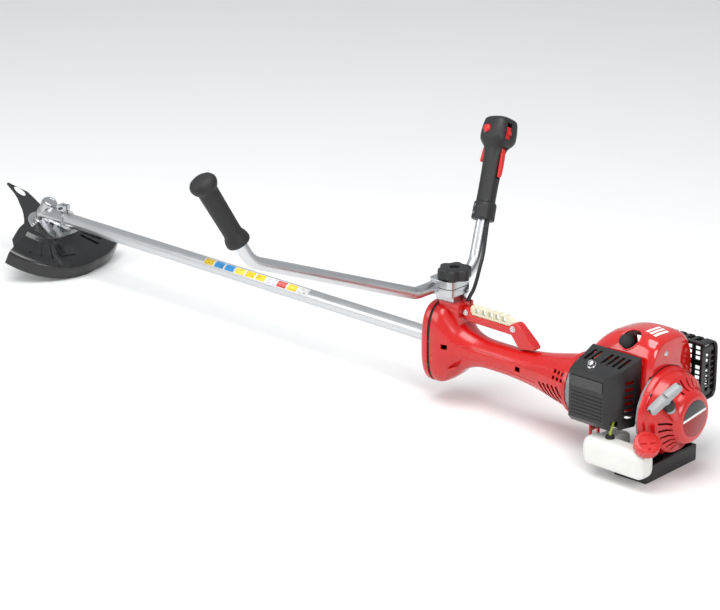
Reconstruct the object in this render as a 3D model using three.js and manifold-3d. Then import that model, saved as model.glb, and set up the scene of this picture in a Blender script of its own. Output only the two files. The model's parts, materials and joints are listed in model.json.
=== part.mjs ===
// Petrol brush cutter with a bicycle handlebar, a three-tooth blade and a rear two-stroke engine.
// Millimetres, +Z up. +X runs from the engine to the blade, +Y to the left of the person holding it.
// The origin is the centre of the engine stand's flat underside. Almost everything is placed in the
// drive line's own frame: its X axis is the drive shaft, and x = 0 is where the tube enters the housing.
import * as THREE from "three";
import { mergeVertices } from "three/addons/utils/BufferGeometryUtils.js";
import Module from "manifold-3d";

const wasm = await Module();
wasm.setup();

// ---- driving dimensions ------------------------------------------------------------------------
const GAP = 0.3; // between two pieces that touch
const SHAFT_HEIGHT = 108; // drive axis above the floor
const MOUTH_X = 510; // from the stand's centre to the housing's mouth

const TUBE_D = 28;
const TUBE_WALL = 1.5;
const TUBE_REACH = 981; // from the housing's mouth to the tube's end in the gear case
const TUBE_SEAT = 38; // depth of the tube inside the isolator plate
const DRIVE_D = 8;

const HEAD_TILT = 28; // degrees between the blade's axis and upright
const HEAD_X = TUBE_REACH + 33; // where the blade's axis meets the drive axis
const PINION_TEETH = 14;
const GEAR_TEETH = 19;
const CONE_DISTANCE = 12.9;
const BLADE_D = 255;
const BLADE_T = 1.8;
const BLADE_DROP = 28; // from the drive axis to the blade, along the blade's axis
const COLLAR_D = 62;
const SPINDLE_D = 10;
const GUARD_R = 145;
const GUARD_WALL = 3;

const BAR_D = 22;
const BAR_WALL = 2;
const BAR_X = -45;
const BAR_Z = 106;
const BAR_TILT = 11; // degrees, grips leaning forward
const BAR_BEND_R = 50;
const BAR_REACH_LEFT = 450; // sideways to the left bend
const BAR_RISE_LEFT = 149; // height of the left bend above the clamp
const BAR_REACH_RIGHT = 75;
const GRIP_SPLAY = 27.5; // degrees, grips leaning outward
const LEFT_GRIP_L = 127;
const HANDLE_L = 189;
const STUD_X = -67;
const STUD_D = 8;

const CRANK_X = -440; // cylinder axis
const BORE_D = 44;
const STROKE = 30;
const DECK_Z = 30;
const FAN_R = 74; // outer radius of the fan case
const COVER_WALL = 2.2;

const ROUNDNESS = 0.55; // share of the facet counts below that round surfaces keep

// ---- small helpers -----------------------------------------------------------------------------
function facets(count) {
  return count <= 8 ? count : Math.max(8, 4 * Math.round((count * ROUNDNESS) / 4));
}

const rad = THREE.MathUtils.degToRad;
const X_AXIS = new THREE.Vector3(1, 0, 0);
const Y_AXIS = new THREE.Vector3(0, 1, 0);
const Z_AXIS = new THREE.Vector3(0, 0, 1);

// A geometry as a closed solid with its faces pointing out.
function solid(geometry) {
  const bare = geometry.clone();
  bare.deleteAttribute("normal");
  bare.deleteAttribute("uv");
  const merged = mergeVertices(bare, 1e-4);
  const place = merged.getAttribute("position");
  const corners = [];
  for (let i = 0; i < merged.index.count; i += 3) {
    const [a, b, c] = [0, 1, 2].map((k) => merged.index.getX(i + k));
    if (a !== b && b !== c && a !== c) corners.push(a, b, c);
  }
  const p = (i) => new THREE.Vector3().fromBufferAttribute(place, i);
  let volume = 0;
  for (let i = 0; i < corners.length; i += 3) {
    volume += p(corners[i]).dot(p(corners[i + 1]).cross(p(corners[i + 2])));
  }
  if (volume < 0) corners.reverse();
  const vertProperties = new Float32Array(place.array);
  const triVerts = new Uint32Array(corners);
  return new wasm.Manifold(new wasm.Mesh({ numProp: 3, vertProperties, triVerts }));
}

function join(...pieces) {
  return pieces.reduce((whole, piece) => whole.add(piece));
}

function cut(whole, ...tools) {
  return tools.reduce((left, tool) => left.subtract(tool), whole);
}

function move(piece, x, y, z) {
  return piece.translate([x, y, z]);
}

function box(x0, x1, y0, y1, z0, z1) {
  const geometry = new THREE.BoxGeometry(x1 - x0, y1 - y0, z1 - z0);
  return solid(geometry.translate((x0 + x1) / 2, (y0 + y1) / 2, (z0 + z1) / 2));
}

// A rod from one point to another.
function rod(from, to, radius, sides = 16, endRadius = radius) {
  const a = new THREE.Vector3(...from);
  const b = new THREE.Vector3(...to);
  const along = b.clone().sub(a);
  const geometry = new THREE.CylinderGeometry(endRadius, radius, along.length(), facets(sides));
  const turn = new THREE.Quaternion().setFromUnitVectors(Y_AXIS, along.normalize());
  geometry.applyQuaternion(turn);
  const middle = a.add(b).multiplyScalar(0.5);
  return solid(geometry.translate(middle.x, middle.y, middle.z));
}

// A profile of [position along the axis, radius] points, turned about X or Z.
function turned(profile, sides = 32, axis = X_AXIS) {
  const points = profile.map(([along, r]) => new THREE.Vector2(r, along));
  const geometry = new THREE.LatheGeometry(points, facets(sides));
  geometry.applyQuaternion(new THREE.Quaternion().setFromUnitVectors(Y_AXIS, axis));
  return solid(geometry);
}

// A ring: outer and inner radius between two positions along the axis.
function ring(from, to, outer, inner, sides = 24, axis = X_AXIS) {
  const profile = [[from, inner], [from, outer], [to, outer], [to, inner], [from, inner]];
  return turned(profile, sides, axis);
}

function outline(points) {
  return new THREE.Shape(points.map(([a, b]) => new THREE.Vector2(a, b)));
}

// Extrusions of an outline: in X and Z along Y, in Y and Z along X, or in X and Y along Z.
function extruded(shape, depth, a, b, c) {
  const geometry = new THREE.ExtrudeGeometry(shape, { depth, bevelEnabled: false, curveSegments: 10 });
  return solid(geometry.applyMatrix4(new THREE.Matrix4().makeBasis(a, b, c)));
}

function plateXZ(points, y0, y1) {
  const back = Y_AXIS.clone().negate();
  return move(extruded(outline(points), y1 - y0, X_AXIS, Z_AXIS, back), 0, y1, 0);
}

function plateYZ(points, x0, x1) {
  return move(extruded(outline(points), x1 - x0, Y_AXIS, Z_AXIS, X_AXIS), x0, 0, 0);
}

function plateXY(points, z0, z1) {
  return move(extruded(outline(points), z1 - z0, X_AXIS, Y_AXIS, Z_AXIS), 0, 0, z0);
}

// A body whose rounded-box section changes along X. Each station is
// { x, y, z, half, up, down, n }: centre, half width, heights above and below, and squareness.
function loft(stations, around = 32) {
  const last = stations.length - 1;
  const geometry = new THREE.CylinderGeometry(1, 1, 1, facets(around), last);
  const place = geometry.getAttribute("position");
  const power = (v, n) => (Math.abs(v) < 1e-9 ? 0 : Math.sign(v) * Math.abs(v) ** (2 / n));
  for (let i = 0; i < place.count; i++) {
    const s = stations[Math.round((0.5 - place.getY(i)) * last)];
    const onRim = Math.hypot(place.getX(i), place.getZ(i)) > 0.5 ? 1 : 0;
    const side = power(place.getZ(i), s.n) * s.half * onRim;
    const rise = power(place.getX(i), s.n) * (place.getX(i) > 0 ? s.up : s.down) * onRim;
    place.setXYZ(i, s.x, (s.y ?? 0) + side, (s.z ?? 0) + rise);
  }
  return solid(geometry);
}

function shrunk(stations, wall) {
  return stations.map((s) => ({ ...s, half: s.half - wall, up: s.up - wall, down: s.down - wall }));
}

// A tube along a curve, with an optional bore.
function piped(curve, radius, steps, sides, bore = 0) {
  const circle = (r, n) => Array.from({ length: n }, (_, i) => {
    const angle = (2 * Math.PI * (i + 0.5)) / n;
    return [r * Math.cos(angle), r * Math.sin(angle)];
  });
  const shape = outline(circle(radius, sides));
  if (bore > 0) shape.holes.push(outline(circle(bore, sides)));
  return solid(new THREE.ExtrudeGeometry(shape, { steps, extrudePath: curve, bevelEnabled: false }));
}

// Straight runs between corner points, joined by bends.
function bentPath(corners, bend) {
  const path = new THREE.CurvePath();
  const points = corners.map((c) => new THREE.Vector3(...c));
  let start = points[0];
  for (let i = 1; i < points.length - 1; i++) {
    const back = points[i - 1].clone().sub(points[i]).normalize();
    const on = points[i + 1].clone().sub(points[i]).normalize();
    const trim = bend / Math.tan(back.angleTo(on) / 2);
    const from = points[i].clone().addScaledVector(back, trim);
    const to = points[i].clone().addScaledVector(on, trim);
    path.add(new THREE.LineCurve3(start, from));
    path.add(new THREE.QuadraticBezierCurve3(from, points[i], to));
    start = to;
  }
  path.add(new THREE.LineCurve3(start, points[points.length - 1]));
  return path;
}

const FINISH = {
  red: ["#d3140f", 0.32, 0], black: ["#1b1b1c", 0.5, 0], rubber: ["#161617", 0.85, 0],
  alloy: ["#c9cbcd", 0.38, 1], steel: ["#8d9094", 0.35, 1], darkSteel: ["#3a3c3e", 0.45, 1],
  cream: ["#e9e6cf", 0.5, 0], tank: ["#eef1f0", 0.4, 0], silver: ["#a9abad", 0.3, 0],
  line: ["#b9b04a", 0.5, 0], paper: ["#d8cfa8", 0.9, 0], white: ["#f2f2f0", 0.4, 0],
};

function add(parent, name, piece, finish) {
  const made = piece.getMesh();
  const geometry = new THREE.BufferGeometry();
  const count = made.vertProperties.length / made.numProp;
  const place = new Float32Array(count * 3);
  for (let i = 0; i < count; i++) {
    for (let k = 0; k < 3; k++) place[3 * i + k] = made.vertProperties[made.numProp * i + k];
  }
  geometry.setAttribute("position", new THREE.BufferAttribute(place, 3));
  geometry.setIndex(new THREE.BufferAttribute(made.triVerts, 1));
  geometry.computeVertexNormals();
  const [color, roughness, metalness] = FINISH[finish];
  const mesh = new THREE.Mesh(geometry, new THREE.MeshStandardMaterial({ color, roughness, metalness }));
  mesh.name = name;
  parent.add(mesh);
}

// ---- groups: the drive line's frame, and the tilted frames inside it ----------------------------
const machine = new THREE.Group();
const line = new THREE.Group();
line.position.set(MOUTH_X, 0, SHAFT_HEIGHT);
machine.add(line);

// Blade frame: origin where the two axes cross, +Z up along the blade's axis, +X away from the tube.
const head = new THREE.Group();
head.position.set(HEAD_X, 0, 0);
head.rotation.y = -rad(HEAD_TILT);
line.add(head);

// Handlebar frame: origin at the bar's middle, Y along the clamp, Z up in the plane of the bends.
const bar = new THREE.Group();
bar.position.set(BAR_X, 0, BAR_Z);
bar.rotation.y = rad(BAR_TILT);
line.add(bar);

// ---- drive shaft and bevel gears -----------------------------------------------------------------
const SHAFT_ANGLE = rad(90 + HEAD_TILT);
const TOOTH_RATIO = GEAR_TEETH / PINION_TEETH;
const PINION_CONE = Math.atan2(Math.sin(SHAFT_ANGLE), TOOTH_RATIO + Math.cos(SHAFT_ANGLE));
const GEAR_CONE = SHAFT_ANGLE - PINION_CONE;
const FACE = 5; // face width of the teeth along the cone
const TOOTH_TIP = 0.45;
const TOOTH_ROOT = 0.95;

// A bevel gear with its cone's apex at the origin and its body towards -Z. Every row of a tooth is
// scaled from the apex, so two of these run together on a shared apex.
function bevelGear(teeth, cone, back, boreRadius, phase) {
  const rows = [CONE_DISTANCE - FACE, CONE_DISTANCE, CONE_DISTANCE];
  const columns = [[-0.21, 0], [-0.1, 1], [0.1, 1], [0.21, 0]];
  const geometry = new THREE.CylinderGeometry(1, 1, 1, 4 * teeth, rows.length - 1);
  const place = geometry.getAttribute("position");
  for (let i = 0; i < place.count; i++) {
    const row = Math.round((0.5 - place.getY(i)) * (rows.length - 1));
    const turn = Math.atan2(place.getX(i), place.getZ(i)) / (2 * Math.PI) + 1;
    const column = Math.round(turn * 4 * teeth) % (4 * teeth);
    const [offset, high] = columns[column % 4];
    const angle = ((Math.floor(column / 4) + offset + phase) * 2 * Math.PI) / teeth;
    const scale = rows[row] / CONE_DISTANCE;
    const lift = (high ? TOOTH_TIP : -TOOTH_ROOT) * scale;
    let radius = rows[row] * Math.sin(cone) + lift * Math.cos(cone);
    let depth = rows[row] * Math.cos(cone) - lift * Math.sin(cone);
    if (row === 2) {
      radius = rows[row] * Math.sin(cone) - TOOTH_ROOT * Math.cos(cone) - 0.5;
      depth = back;
    }
    if (Math.hypot(place.getX(i), place.getZ(i)) < 0.5) radius = 0;
    if (row === 0 && radius === 0) depth = rows[0] * Math.cos(cone) + TOOTH_ROOT * Math.sin(cone);
    place.setXYZ(i, radius * Math.cos(angle), radius * Math.sin(angle), -depth);
  }
  return cut(solid(geometry), rod([0, 0, 1], [0, 0, -back - 1], boreRadius));
}

function turnToDriveLine(piece) {
  // the pinion's body points away from the blade: its own -Z becomes the line's -X
  return piece.rotate([0, 90, 0]);
}

const PINION_BACK = 26;
const SHANK_R = 5.5;
const pinionBody = join(
  turnToDriveLine(bevelGear(PINION_TEETH, PINION_CONE, 12, DRIVE_D / 2 + GAP, 0)),
  ring(-PINION_BACK, -11, SHANK_R, DRIVE_D / 2 + GAP, 20),
);
add(line, "bevel_pinion", move(pinionBody, HEAD_X, 0, 0), "steel");

const DRUM_X = -328; // front of the clutch drum
const DRUM_R = 37;
const DRUM_L = 24;
const driveShaft = rod([DRUM_X - 5, 0, 0], [HEAD_X - 10, 0, 0], DRIVE_D / 2, 12);
add(line, "drive_shaft", driveShaft, "steel");

const tubeInner = TUBE_D / 2 - TUBE_WALL;
add(line, "main_tube", ring(-TUBE_SEAT, TUBE_REACH, TUBE_D / 2, tubeInner, 28), "alloy");
for (const [name, x] of [["shaft_bush_front", TUBE_REACH - 60], ["shaft_bush_rear", 20]]) {
  add(line, name, ring(x, x + 30, tubeInner - GAP, DRIVE_D / 2 + GAP, 20), "white");
}

// ---- cutting head, in the blade frame -------------------------------------------------------------
const CAP_TOP = 33;
const BARREL_R = 16.5;
const BARREL_BOTTOM = -17;
const BEARING_TOP = -8;
const BEARING_R = 12.5;
const COLLAR_TOP = BARREL_BOTTOM - 1.5;
const BLADE_TOP = -BLADE_DROP + BLADE_T / 2;
const PILOT_R = 12.5;
const CLAMP_FROM = HEAD_X - 66;
const CLAMP_TO = HEAD_X - 42;
const CLAMP_R = TUBE_D / 2 + 5;

const gear = bevelGear(GEAR_TEETH, GEAR_CONE, 7.5, SPINDLE_D / 2 + GAP, 0);
add(head, "output_gear", gear, "steel");
const NUT_BOTTOM = -BLADE_DROP - 19;
add(head, "output_shaft", rod([0, 0, -3], [0, 0, NUT_BOTTOM - 4], SPINDLE_D / 2), "steel");
const spindleBearing = ring(BARREL_BOTTOM, BEARING_TOP - GAP, BEARING_R, SPINDLE_D / 2 + GAP, 20, Z_AXIS);
add(head, "spindle_bearing", spindleBearing, "steel");

// The gear case is made in the blade frame; the tube's own axis is tilted back out of it.
function alongTube(piece) {
  return piece.rotate([0, HEAD_TILT, 0]);
}

function gearCaseOuter(clear = 0) {
  const barrel = turned([
    [BARREL_BOTTOM, 0], [BARREL_BOTTOM, 21 + clear], [BARREL_BOTTOM + 4, 21 + clear], [-11, 18.5 + clear],
    [0, 19 + clear], [12, 17 + clear], [16, BARREL_R + clear], [CAP_TOP - 4, BARREL_R + clear],
    [CAP_TOP - 4, 0],
  ], 28, Z_AXIS);
  const neck = turned([
    [2, 0], [0, 13 + clear], [-8, TUBE_D / 2 + 4.5 + clear], [-24, TUBE_D / 2 + 4.5 + clear],
    [CLAMP_TO - HEAD_X, TUBE_D / 2 + 3 + clear], [CLAMP_TO - HEAD_X, CLAMP_R + clear],
    [CLAMP_FROM - HEAD_X, CLAMP_R + clear], [CLAMP_FROM - HEAD_X, 0],
  ], 28);
  return join(barrel, alongTube(neck));
}

function gearCase() {
  const ears = box(CLAMP_FROM - HEAD_X + 2, CLAMP_TO - HEAD_X - 2, -8, 8, 12, 29);
  const tubeBore = rod([-80, 0, 0], [TUBE_REACH + 1 - HEAD_X, 0, 0], TUBE_D / 2 + GAP, 28);
  const slit = box(CLAMP_FROM - HEAD_X - 1, -36, -1.2, 1.2, 0, 32);
  const boltHole = rod([-54, -9, 23], [-54, 9, 23], 2.8, 12);
  const cavity = solid(new THREE.SphereGeometry(16, 14, 10));
  return cut(
    join(gearCaseOuter(), alongTube(ears)),
    alongTube(join(tubeBore, slit, boltHole, rod([-40, 0, 0], [0, 0, 0], 8, 20))),
    cavity,
    rod([0, 0, BARREL_BOTTOM - 1], [0, 0, BEARING_TOP], BEARING_R + GAP, 20),
    rod([0, 0, -10], [0, 0, CAP_TOP], 11.5, 20),
  );
}
add(head, "gear_case", gearCase(), "alloy");

const capProfile = [
  [18, 6], [18, 11.2], [CAP_TOP - 4 + GAP, 11.2], [CAP_TOP - 4 + GAP, 13.5],
  [CAP_TOP, 12.5], [CAP_TOP, 0], [26, 0], [26, 6], [18, 6],
];
add(head, "gear_case_cap", turned(capProfile, 20, Z_AXIS), "alloy");

const clampBolt = join(
  rod([-54, -13, 23], [-54, -8.5, 23], 4.5, 6),
  rod([-54, -9, 23], [-54, 12, 23], 2.5, 12),
);
add(head, "gear_case_clamp_bolt", alongTube(clampBolt), "darkSteel");

const COLLAR_R = COLLAR_D / 2;
const spindleHole = SPINDLE_D / 2 + GAP;
const upperCollar = turned([
  [COLLAR_TOP, spindleHole], [COLLAR_TOP, 20], [COLLAR_TOP - 2.5, 25], [COLLAR_TOP - 4.5, COLLAR_R],
  [BLADE_TOP + GAP, COLLAR_R], [BLADE_TOP + GAP, PILOT_R - GAP], [BLADE_TOP - BLADE_T + 0.2, PILOT_R - GAP],
  [BLADE_TOP - BLADE_T + 0.2, spindleHole], [COLLAR_TOP, spindleHole],
], 32, Z_AXIS);
add(head, "blade_upper_collar", upperCollar, "alloy");

// One third of the blade's outline, tooth along +X, repeated three times.
function bladeOutline() {
  const r = BLADE_D / 2;
  const third = [
    [0.36 * r, -0.26 * r], [0.7 * r, -0.245 * r], [0.997 * r, -0.075 * r], [0.975 * r, -0.03 * r],
    [0.74 * r, -0.01 * r], [0.5 * r, 0.07 * r], [0.28 * r, 0.17 * r], [0.1 * r, 0.3 * r],
  ];
  const points = [];
  for (let k = 0; k < 3; k++) {
    const turn = (2 * Math.PI * k) / 3;
    for (const [x, y] of third) {
      points.push([x * Math.cos(turn) - y * Math.sin(turn), x * Math.sin(turn) + y * Math.cos(turn)]);
    }
  }
  return points;
}
const bladeHole = rod([0, 0, -60], [0, 0, 0], PILOT_R, 32);
add(head, "cutting_blade", cut(plateXY(bladeOutline(), BLADE_TOP - BLADE_T, BLADE_TOP), bladeHole), "black");

const LOWER_TOP = BLADE_TOP - BLADE_T - GAP;
const lowerCollar = turned([
  [LOWER_TOP, spindleHole], [LOWER_TOP, 29], [LOWER_TOP - 4, 28], [LOWER_TOP - 9, 20],
  [LOWER_TOP - 9, spindleHole], [LOWER_TOP, spindleHole],
], 32, Z_AXIS);
add(head, "blade_lower_collar", lowerCollar, "alloy");
const nutTop = LOWER_TOP - 9 - GAP;
add(head, "blade_nut", cut(rod([0, 0, NUT_BOTTOM], [0, 0, nutTop], 9.5, 6), rod(
  [0, 0, NUT_BOTTOM - 1], [0, 0, nutTop + 1], spindleHole, 16)), "steel");

// ---- guard: a revolved section, kept between two angles and widened towards the right-hand end ---
const GUARD_FROM = 112; // degrees, 0 is away from the tube
const GUARD_TO = 238;
const GUARD_FLARE = 20; // extra radius at the right-hand end
const FLARE_START = 15; // degrees past the rearmost point
const SKIRT_DROP = (SHAFT_HEIGHT - GUARD_R * Math.sin(rad(HEAD_TILT))) / Math.cos(rad(HEAD_TILT));
const PANEL_TOP = -5; // highest flat of the guard, along the blade's axis

function guardSection(inset) {
  const r = GUARD_R - inset;
  const top = PANEL_TOP - inset;
  return [
    [top, 24], [top, 74], [top - 6, 80], [top - 7, r - 22], [top - 10, r - 8], [top - 15, r - 2],
    [-SKIRT_DROP, r],
  ];
}

function guard() {
  const outside = guardSection(0);
  const inside = guardSection(GUARD_WALL).reverse();
  const full = turned([...outside, ...inside, outside[0]], 64, Z_AXIS);
  const flare = (v) => {
    const angle = (Math.atan2(v[1], v[0]) * 180) / Math.PI;
    const past = angle < 0 ? Math.max(0, angle + 180 - FLARE_START) : 0;
    const radius = Math.hypot(v[0], v[1]);
    const share = past / (GUARD_TO - 180 - FLARE_START);
    const k = 1 + ((GUARD_FLARE * share) / GUARD_R) * THREE.MathUtils.clamp((radius - 80) / 60, 0, 1);
    v[0] *= k;
    v[1] *= k;
  };
  const wedge = [[0, 0]];
  for (let k = 0; k <= 6; k++) {
    const angle = rad(GUARD_FROM + ((GUARD_TO - GUARD_FROM) * k) / 6);
    wedge.push([260 * Math.cos(angle), 260 * Math.sin(angle)]);
  }
  const kept = full.intersect(plateXY(wedge, -90, 30)).warp(flare);
  const hubRoom = rod([0, 0, -60], [0, 0, 20], 27, 28);
  return cut(kept, hubRoom, gearCaseOuter(1));
}
add(head, "blade_guard", guard(), "black");

function guardBracket() {
  const plate = plateXY([
    [-14, -30], [-40, -34], [-70, -30], [-70, 30], [-40, 34], [-14, 30],
  ], PANEL_TOP + GAP, PANEL_TOP + 5);
  const saddle = box(-66, -40, -12, 12, PANEL_TOP + GAP, PANEL_TOP + 12);
  return cut(join(plate, saddle), gearCaseOuter(GAP), rod([0, 0, -40], [0, 0, 40], 21.5, 28));
}
add(head, "guard_bracket", guardBracket(), "alloy");

// ---- handlebar clamp ---------------------------------------------------------------------------
const TOWER_TOP = 80;
const POST_BOTTOM = TOWER_TOP + GAP;
const CLAMP_HALF_W = 29;
const CLAMP_REAR = STUD_X - 16;
const CLAMP_FRONT = BAR_X + 15;
const barBore = rod([BAR_X, -60, BAR_Z], [BAR_X, 60, BAR_Z], BAR_D / 2 + GAP + 0.25, 24);
const studBore = rod([STUD_X, 0, 40], [STUD_X, 0, 140], STUD_D / 2 + GAP, 16);

function clampBlock(z0, z1) {
  const corner = 9;
  return plateXY([
    [CLAMP_REAR, -CLAMP_HALF_W + corner], [CLAMP_REAR + corner, -CLAMP_HALF_W],
    [CLAMP_FRONT - corner, -CLAMP_HALF_W], [CLAMP_FRONT, -CLAMP_HALF_W + corner],
    [CLAMP_FRONT, CLAMP_HALF_W - corner], [CLAMP_FRONT - corner, CLAMP_HALF_W],
    [CLAMP_REAR + corner, CLAMP_HALF_W], [CLAMP_REAR, CLAMP_HALF_W - corner],
  ], z0, z1);
}

const footMiddle = -60;
const postFoot = new THREE.CylinderGeometry(30, 27, 14, 4, 1).rotateX(Math.PI / 2).rotateZ(Math.PI / 4);
const post = join(
  move(solid(postFoot), footMiddle, 0, POST_BOTTOM + 7),
  clampBlock(POST_BOTTOM + 12, BAR_Z - GAP),
);
add(line, "handlebar_post", cut(post, barBore, studBore), "alloy");

const CAP_TOP_Z = BAR_Z + BAR_D / 2 + 3;
add(line, "handlebar_clamp_cap", cut(clampBlock(BAR_Z + GAP, CAP_TOP_Z), barBore, studBore), "alloy");

const KNOB_T = 20;
const KNOB_R = 31;
const KNOB_LOBES = 6;
const knobBottom = CAP_TOP_Z + GAP;
const stud = join(
  rod([STUD_X, 0, TOWER_TOP - 26], [STUD_X, 0, knobBottom + KNOB_T - 4], STUD_D / 2),
  rod([STUD_X, 0, TOWER_TOP - 30], [STUD_X, 0, TOWER_TOP - 25], 6.5, 6),
);
add(line, "clamp_stud", stud, "steel");

function knob() {
  const points = [];
  const steps = KNOB_LOBES * 8;
  for (let i = 0; i < steps; i++) {
    const angle = (2 * Math.PI * i) / steps;
    const radius = KNOB_R - 2.4 + 2.4 * Math.cos(KNOB_LOBES * angle);
    points.push([STUD_X + radius * Math.cos(angle), radius * Math.sin(angle)]);
  }
  const body = plateXY(points, knobBottom, knobBottom + KNOB_T);
  const bore = rod([STUD_X, 0, knobBottom - 1], [STUD_X, 0, knobBottom + KNOB_T + 1], STUD_D / 2 + GAP, 16);
  return cut(body, bore);
}
add(line, "clamp_knob", knob(), "black");

// ---- handlebar and grips, in the handlebar frame --------------------------------------------------
const splay = rad(GRIP_SPLAY);
const LEFT_ARM = 168; // from the left bend's corner to the bar's end
const RIGHT_ARM = 252;
const leftCorner = [0, BAR_REACH_LEFT, BAR_RISE_LEFT];
const rightCorner = [0, -BAR_REACH_RIGHT, 0];
const leftEnd = [0, BAR_REACH_LEFT + LEFT_ARM * Math.sin(splay), BAR_RISE_LEFT + LEFT_ARM * Math.cos(splay)];
const rightEnd = [0, -BAR_REACH_RIGHT - RIGHT_ARM * Math.sin(splay), RIGHT_ARM * Math.cos(splay)];
const barPath = bentPath([leftEnd, leftCorner, [0, 78, 0], rightCorner, rightEnd], BAR_BEND_R);
const BAR_STEPS = 40;
add(bar, "handlebar", piped(barPath, BAR_D / 2, BAR_STEPS, 8, BAR_D / 2 - BAR_WALL), "alloy");

// Each grip has a frame of its own: origin on the bar's end, +Z along the bar, +X forward.
function gripFrame(end, side) {
  const frame = new THREE.Group();
  frame.position.set(...end);
  frame.rotation.x = -side * splay;
  bar.add(frame);
  return frame;
}
const leftFrame = gripFrame(leftEnd, 1);
const rightFrame = gripFrame(rightEnd, -1);
const fit = BAR_D / 2 + 2 * GAP; // bore of whatever slides over the bar

const leftGrip = turned([
  [8, 0], [9, 12], [5, 20], [-4, 23.5], [-12, 22], [-18, 17.5], [-60, 16.5], [-LEFT_GRIP_L + 22, 16],
  [-LEFT_GRIP_L + 14, 19], [-LEFT_GRIP_L + 4, 21], [-LEFT_GRIP_L, 19], [-LEFT_GRIP_L, fit],
  [GAP, fit], [GAP, 0],
].reverse(), 20, Z_AXIS);
add(leftFrame, "left_grip", leftGrip, "rubber");

// The right handle is two half shells that meet on the handle's own YZ plane.
const CABLE_R = 3.5;
const SWITCH_X = -21; // floor of the stop switch's slot
const BUTTON_X = 4;
const BUTTON_Z = 4;
const HANDLE_TOP = 31;
const HANDLE_FOOT = HANDLE_TOP - HANDLE_L;
const GRIP_HALF_X = 19;
const GRIP_HALF_Y = 15.5;
const triggerPivot = [16.8, 0, -12];
const lockPivot = [-15, 0, -30];

function handleBody(inset) {
  const stations = [
    { x: HANDLE_TOP, half: 15, up: 14, down: 19, n: 3 },
    { x: HANDLE_TOP - 7, half: 25, up: 23, down: 28, n: 3 },
    { x: -6, half: 28, up: 27, down: 31, n: 3 }, { x: -18, half: 24, up: 25, down: 28, n: 3 },
    { x: -31, half: GRIP_HALF_Y + 1, up: GRIP_HALF_X, down: GRIP_HALF_X + 1, n: 2.6 },
    { x: -46, half: GRIP_HALF_Y, up: GRIP_HALF_X - 0.5, down: GRIP_HALF_X - 0.5, n: 2.5 },
    { x: HANDLE_FOOT + 38, half: 14.5, up: 17.5, down: 17.5, n: 2.4 },
    { x: HANDLE_FOOT + 29, half: 18, up: 19, down: 20.5, n: 2.6 },
    { x: HANDLE_FOOT, half: 18.5, up: 19, down: 21, n: 2.6 },
  ];
  return loft(shrunk(stations, inset), 24).rotate([0, -90, 0]).rotate([0, 0, 180]);
}

// The lever's inner edge stands off the bar, which leaves it room to be squeezed.
function triggerBlade(c) {
  const [x, , z] = triggerPivot;
  return plateXZ([
    [x - 2.8 - c, z + 4 + c], [x + 2.7 + c, z + 6.5 + c], [x + 8.2 + c, z - 14], [x + 10.7 + c, z - 38 - c],
    [x + 5.7 - c, z - 40 - c], [x + 2.8 - c, z - 32], [x + 1.8 - c, z - 10], [x - 2.8 - c, z - 6],
  ], -5 - c, 5 + c);
}

function lockBlade(c) {
  const [x, , z] = lockPivot;
  return plateXZ([
    [x + 2 + c, z + 5 + c], [x - 4 - c, z + 5 + c], [x - 8 - c, z - 12], [x - 8 - c, z - 44 - c],
    [x - 3.5, z - 50 - c], [x - 3.2 + c, z - 44], [x - 2.6 + c, z - 10], [x + 2 + c, z - 5],
  ], -4.5 - c, 4.5 + c);
}

function handleHalf(front) {
  const room = join(
    rod([0, 0, -200], [0, 0, GAP], fit, 20),
    triggerBlade(1), box(12, 40, -6, 6, triggerPivot[2] - 42, triggerPivot[2] + 4),
    lockBlade(1), box(-40, -12, -5.5, 5.5, lockPivot[2] - 52, lockPivot[2] + 4),
    rod([triggerPivot[0], -12, triggerPivot[2]], [triggerPivot[0], 12, triggerPivot[2]], 2, 10),
  );
  const side = front ? box(GAP / 2, 60, -60, 60, -220, 60) : box(-60, -GAP / 2, -60, 60, -220, 60);
  const switchRoom = box(-40, SWITCH_X - 0.6, 1.4, 12.6, -12, 18);
  const buttonRoom = rod([BUTTON_X, 12, BUTTON_Z], [BUTTON_X, 40, BUTTON_Z], 8.6, 16);
  const cableHole = rod([-15.5, 2, HANDLE_FOOT - 5], [-15.5, 2, HANDLE_FOOT + 32], CABLE_R + 1, 10);
  return cut(handleBody(0), room, switchRoom, buttonRoom, cableHole).intersect(side);
}
add(rightFrame, "throttle_handle_front", handleHalf(true), "black");
add(rightFrame, "throttle_handle_rear", handleHalf(false), "black");

const [pivotX, , pivotZ] = triggerPivot;
const triggerPin = rod([pivotX, -8, pivotZ], [pivotX, 8, pivotZ], 1.6, 10);
add(rightFrame, "throttle_trigger", join(triggerBlade(0), triggerPin), "red");
add(rightFrame, "throttle_lockout", lockBlade(0), "red");

const switchBody = join(box(-30, SWITCH_X - 1, 2, 12, -11.4, 10), box(-34, -29, 3.5, 10.5, -5, 3));
add(rightFrame, "stop_switch", switchBody, "red");
const setButton = rod([BUTTON_X, 16.5, BUTTON_Z], [BUTTON_X, 32, BUTTON_Z], 7.8, 16);
add(rightFrame, "throttle_set_button", setButton, "red");

// ---- control cable: from the handle's foot, down behind the bar, into the housing's tower ----------
function fromGripFrame(x, y, z) {
  machine.updateMatrixWorld(true);
  return line.worldToLocal(rightFrame.localToWorld(new THREE.Vector3(x, y, z)));
}
const cableStart = fromGripFrame(-15.5, 2, HANDLE_FOOT + 30);
const cablePoints = [
  cableStart, fromGripFrame(-15.5, 2, HANDLE_FOOT - 6), new THREE.Vector3(-55, -92, 140),
  new THREE.Vector3(-68, -66, 118), new THREE.Vector3(-81, -42, 104), new THREE.Vector3(-89, -22, 92),
  new THREE.Vector3(-89, -12, 80), new THREE.Vector3(-88, -10, 66),
];
const cablePath = new THREE.CatmullRomCurve3(cablePoints);
add(line, "control_cable", piped(cablePath, CABLE_R, 18, 8), "rubber");

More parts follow.
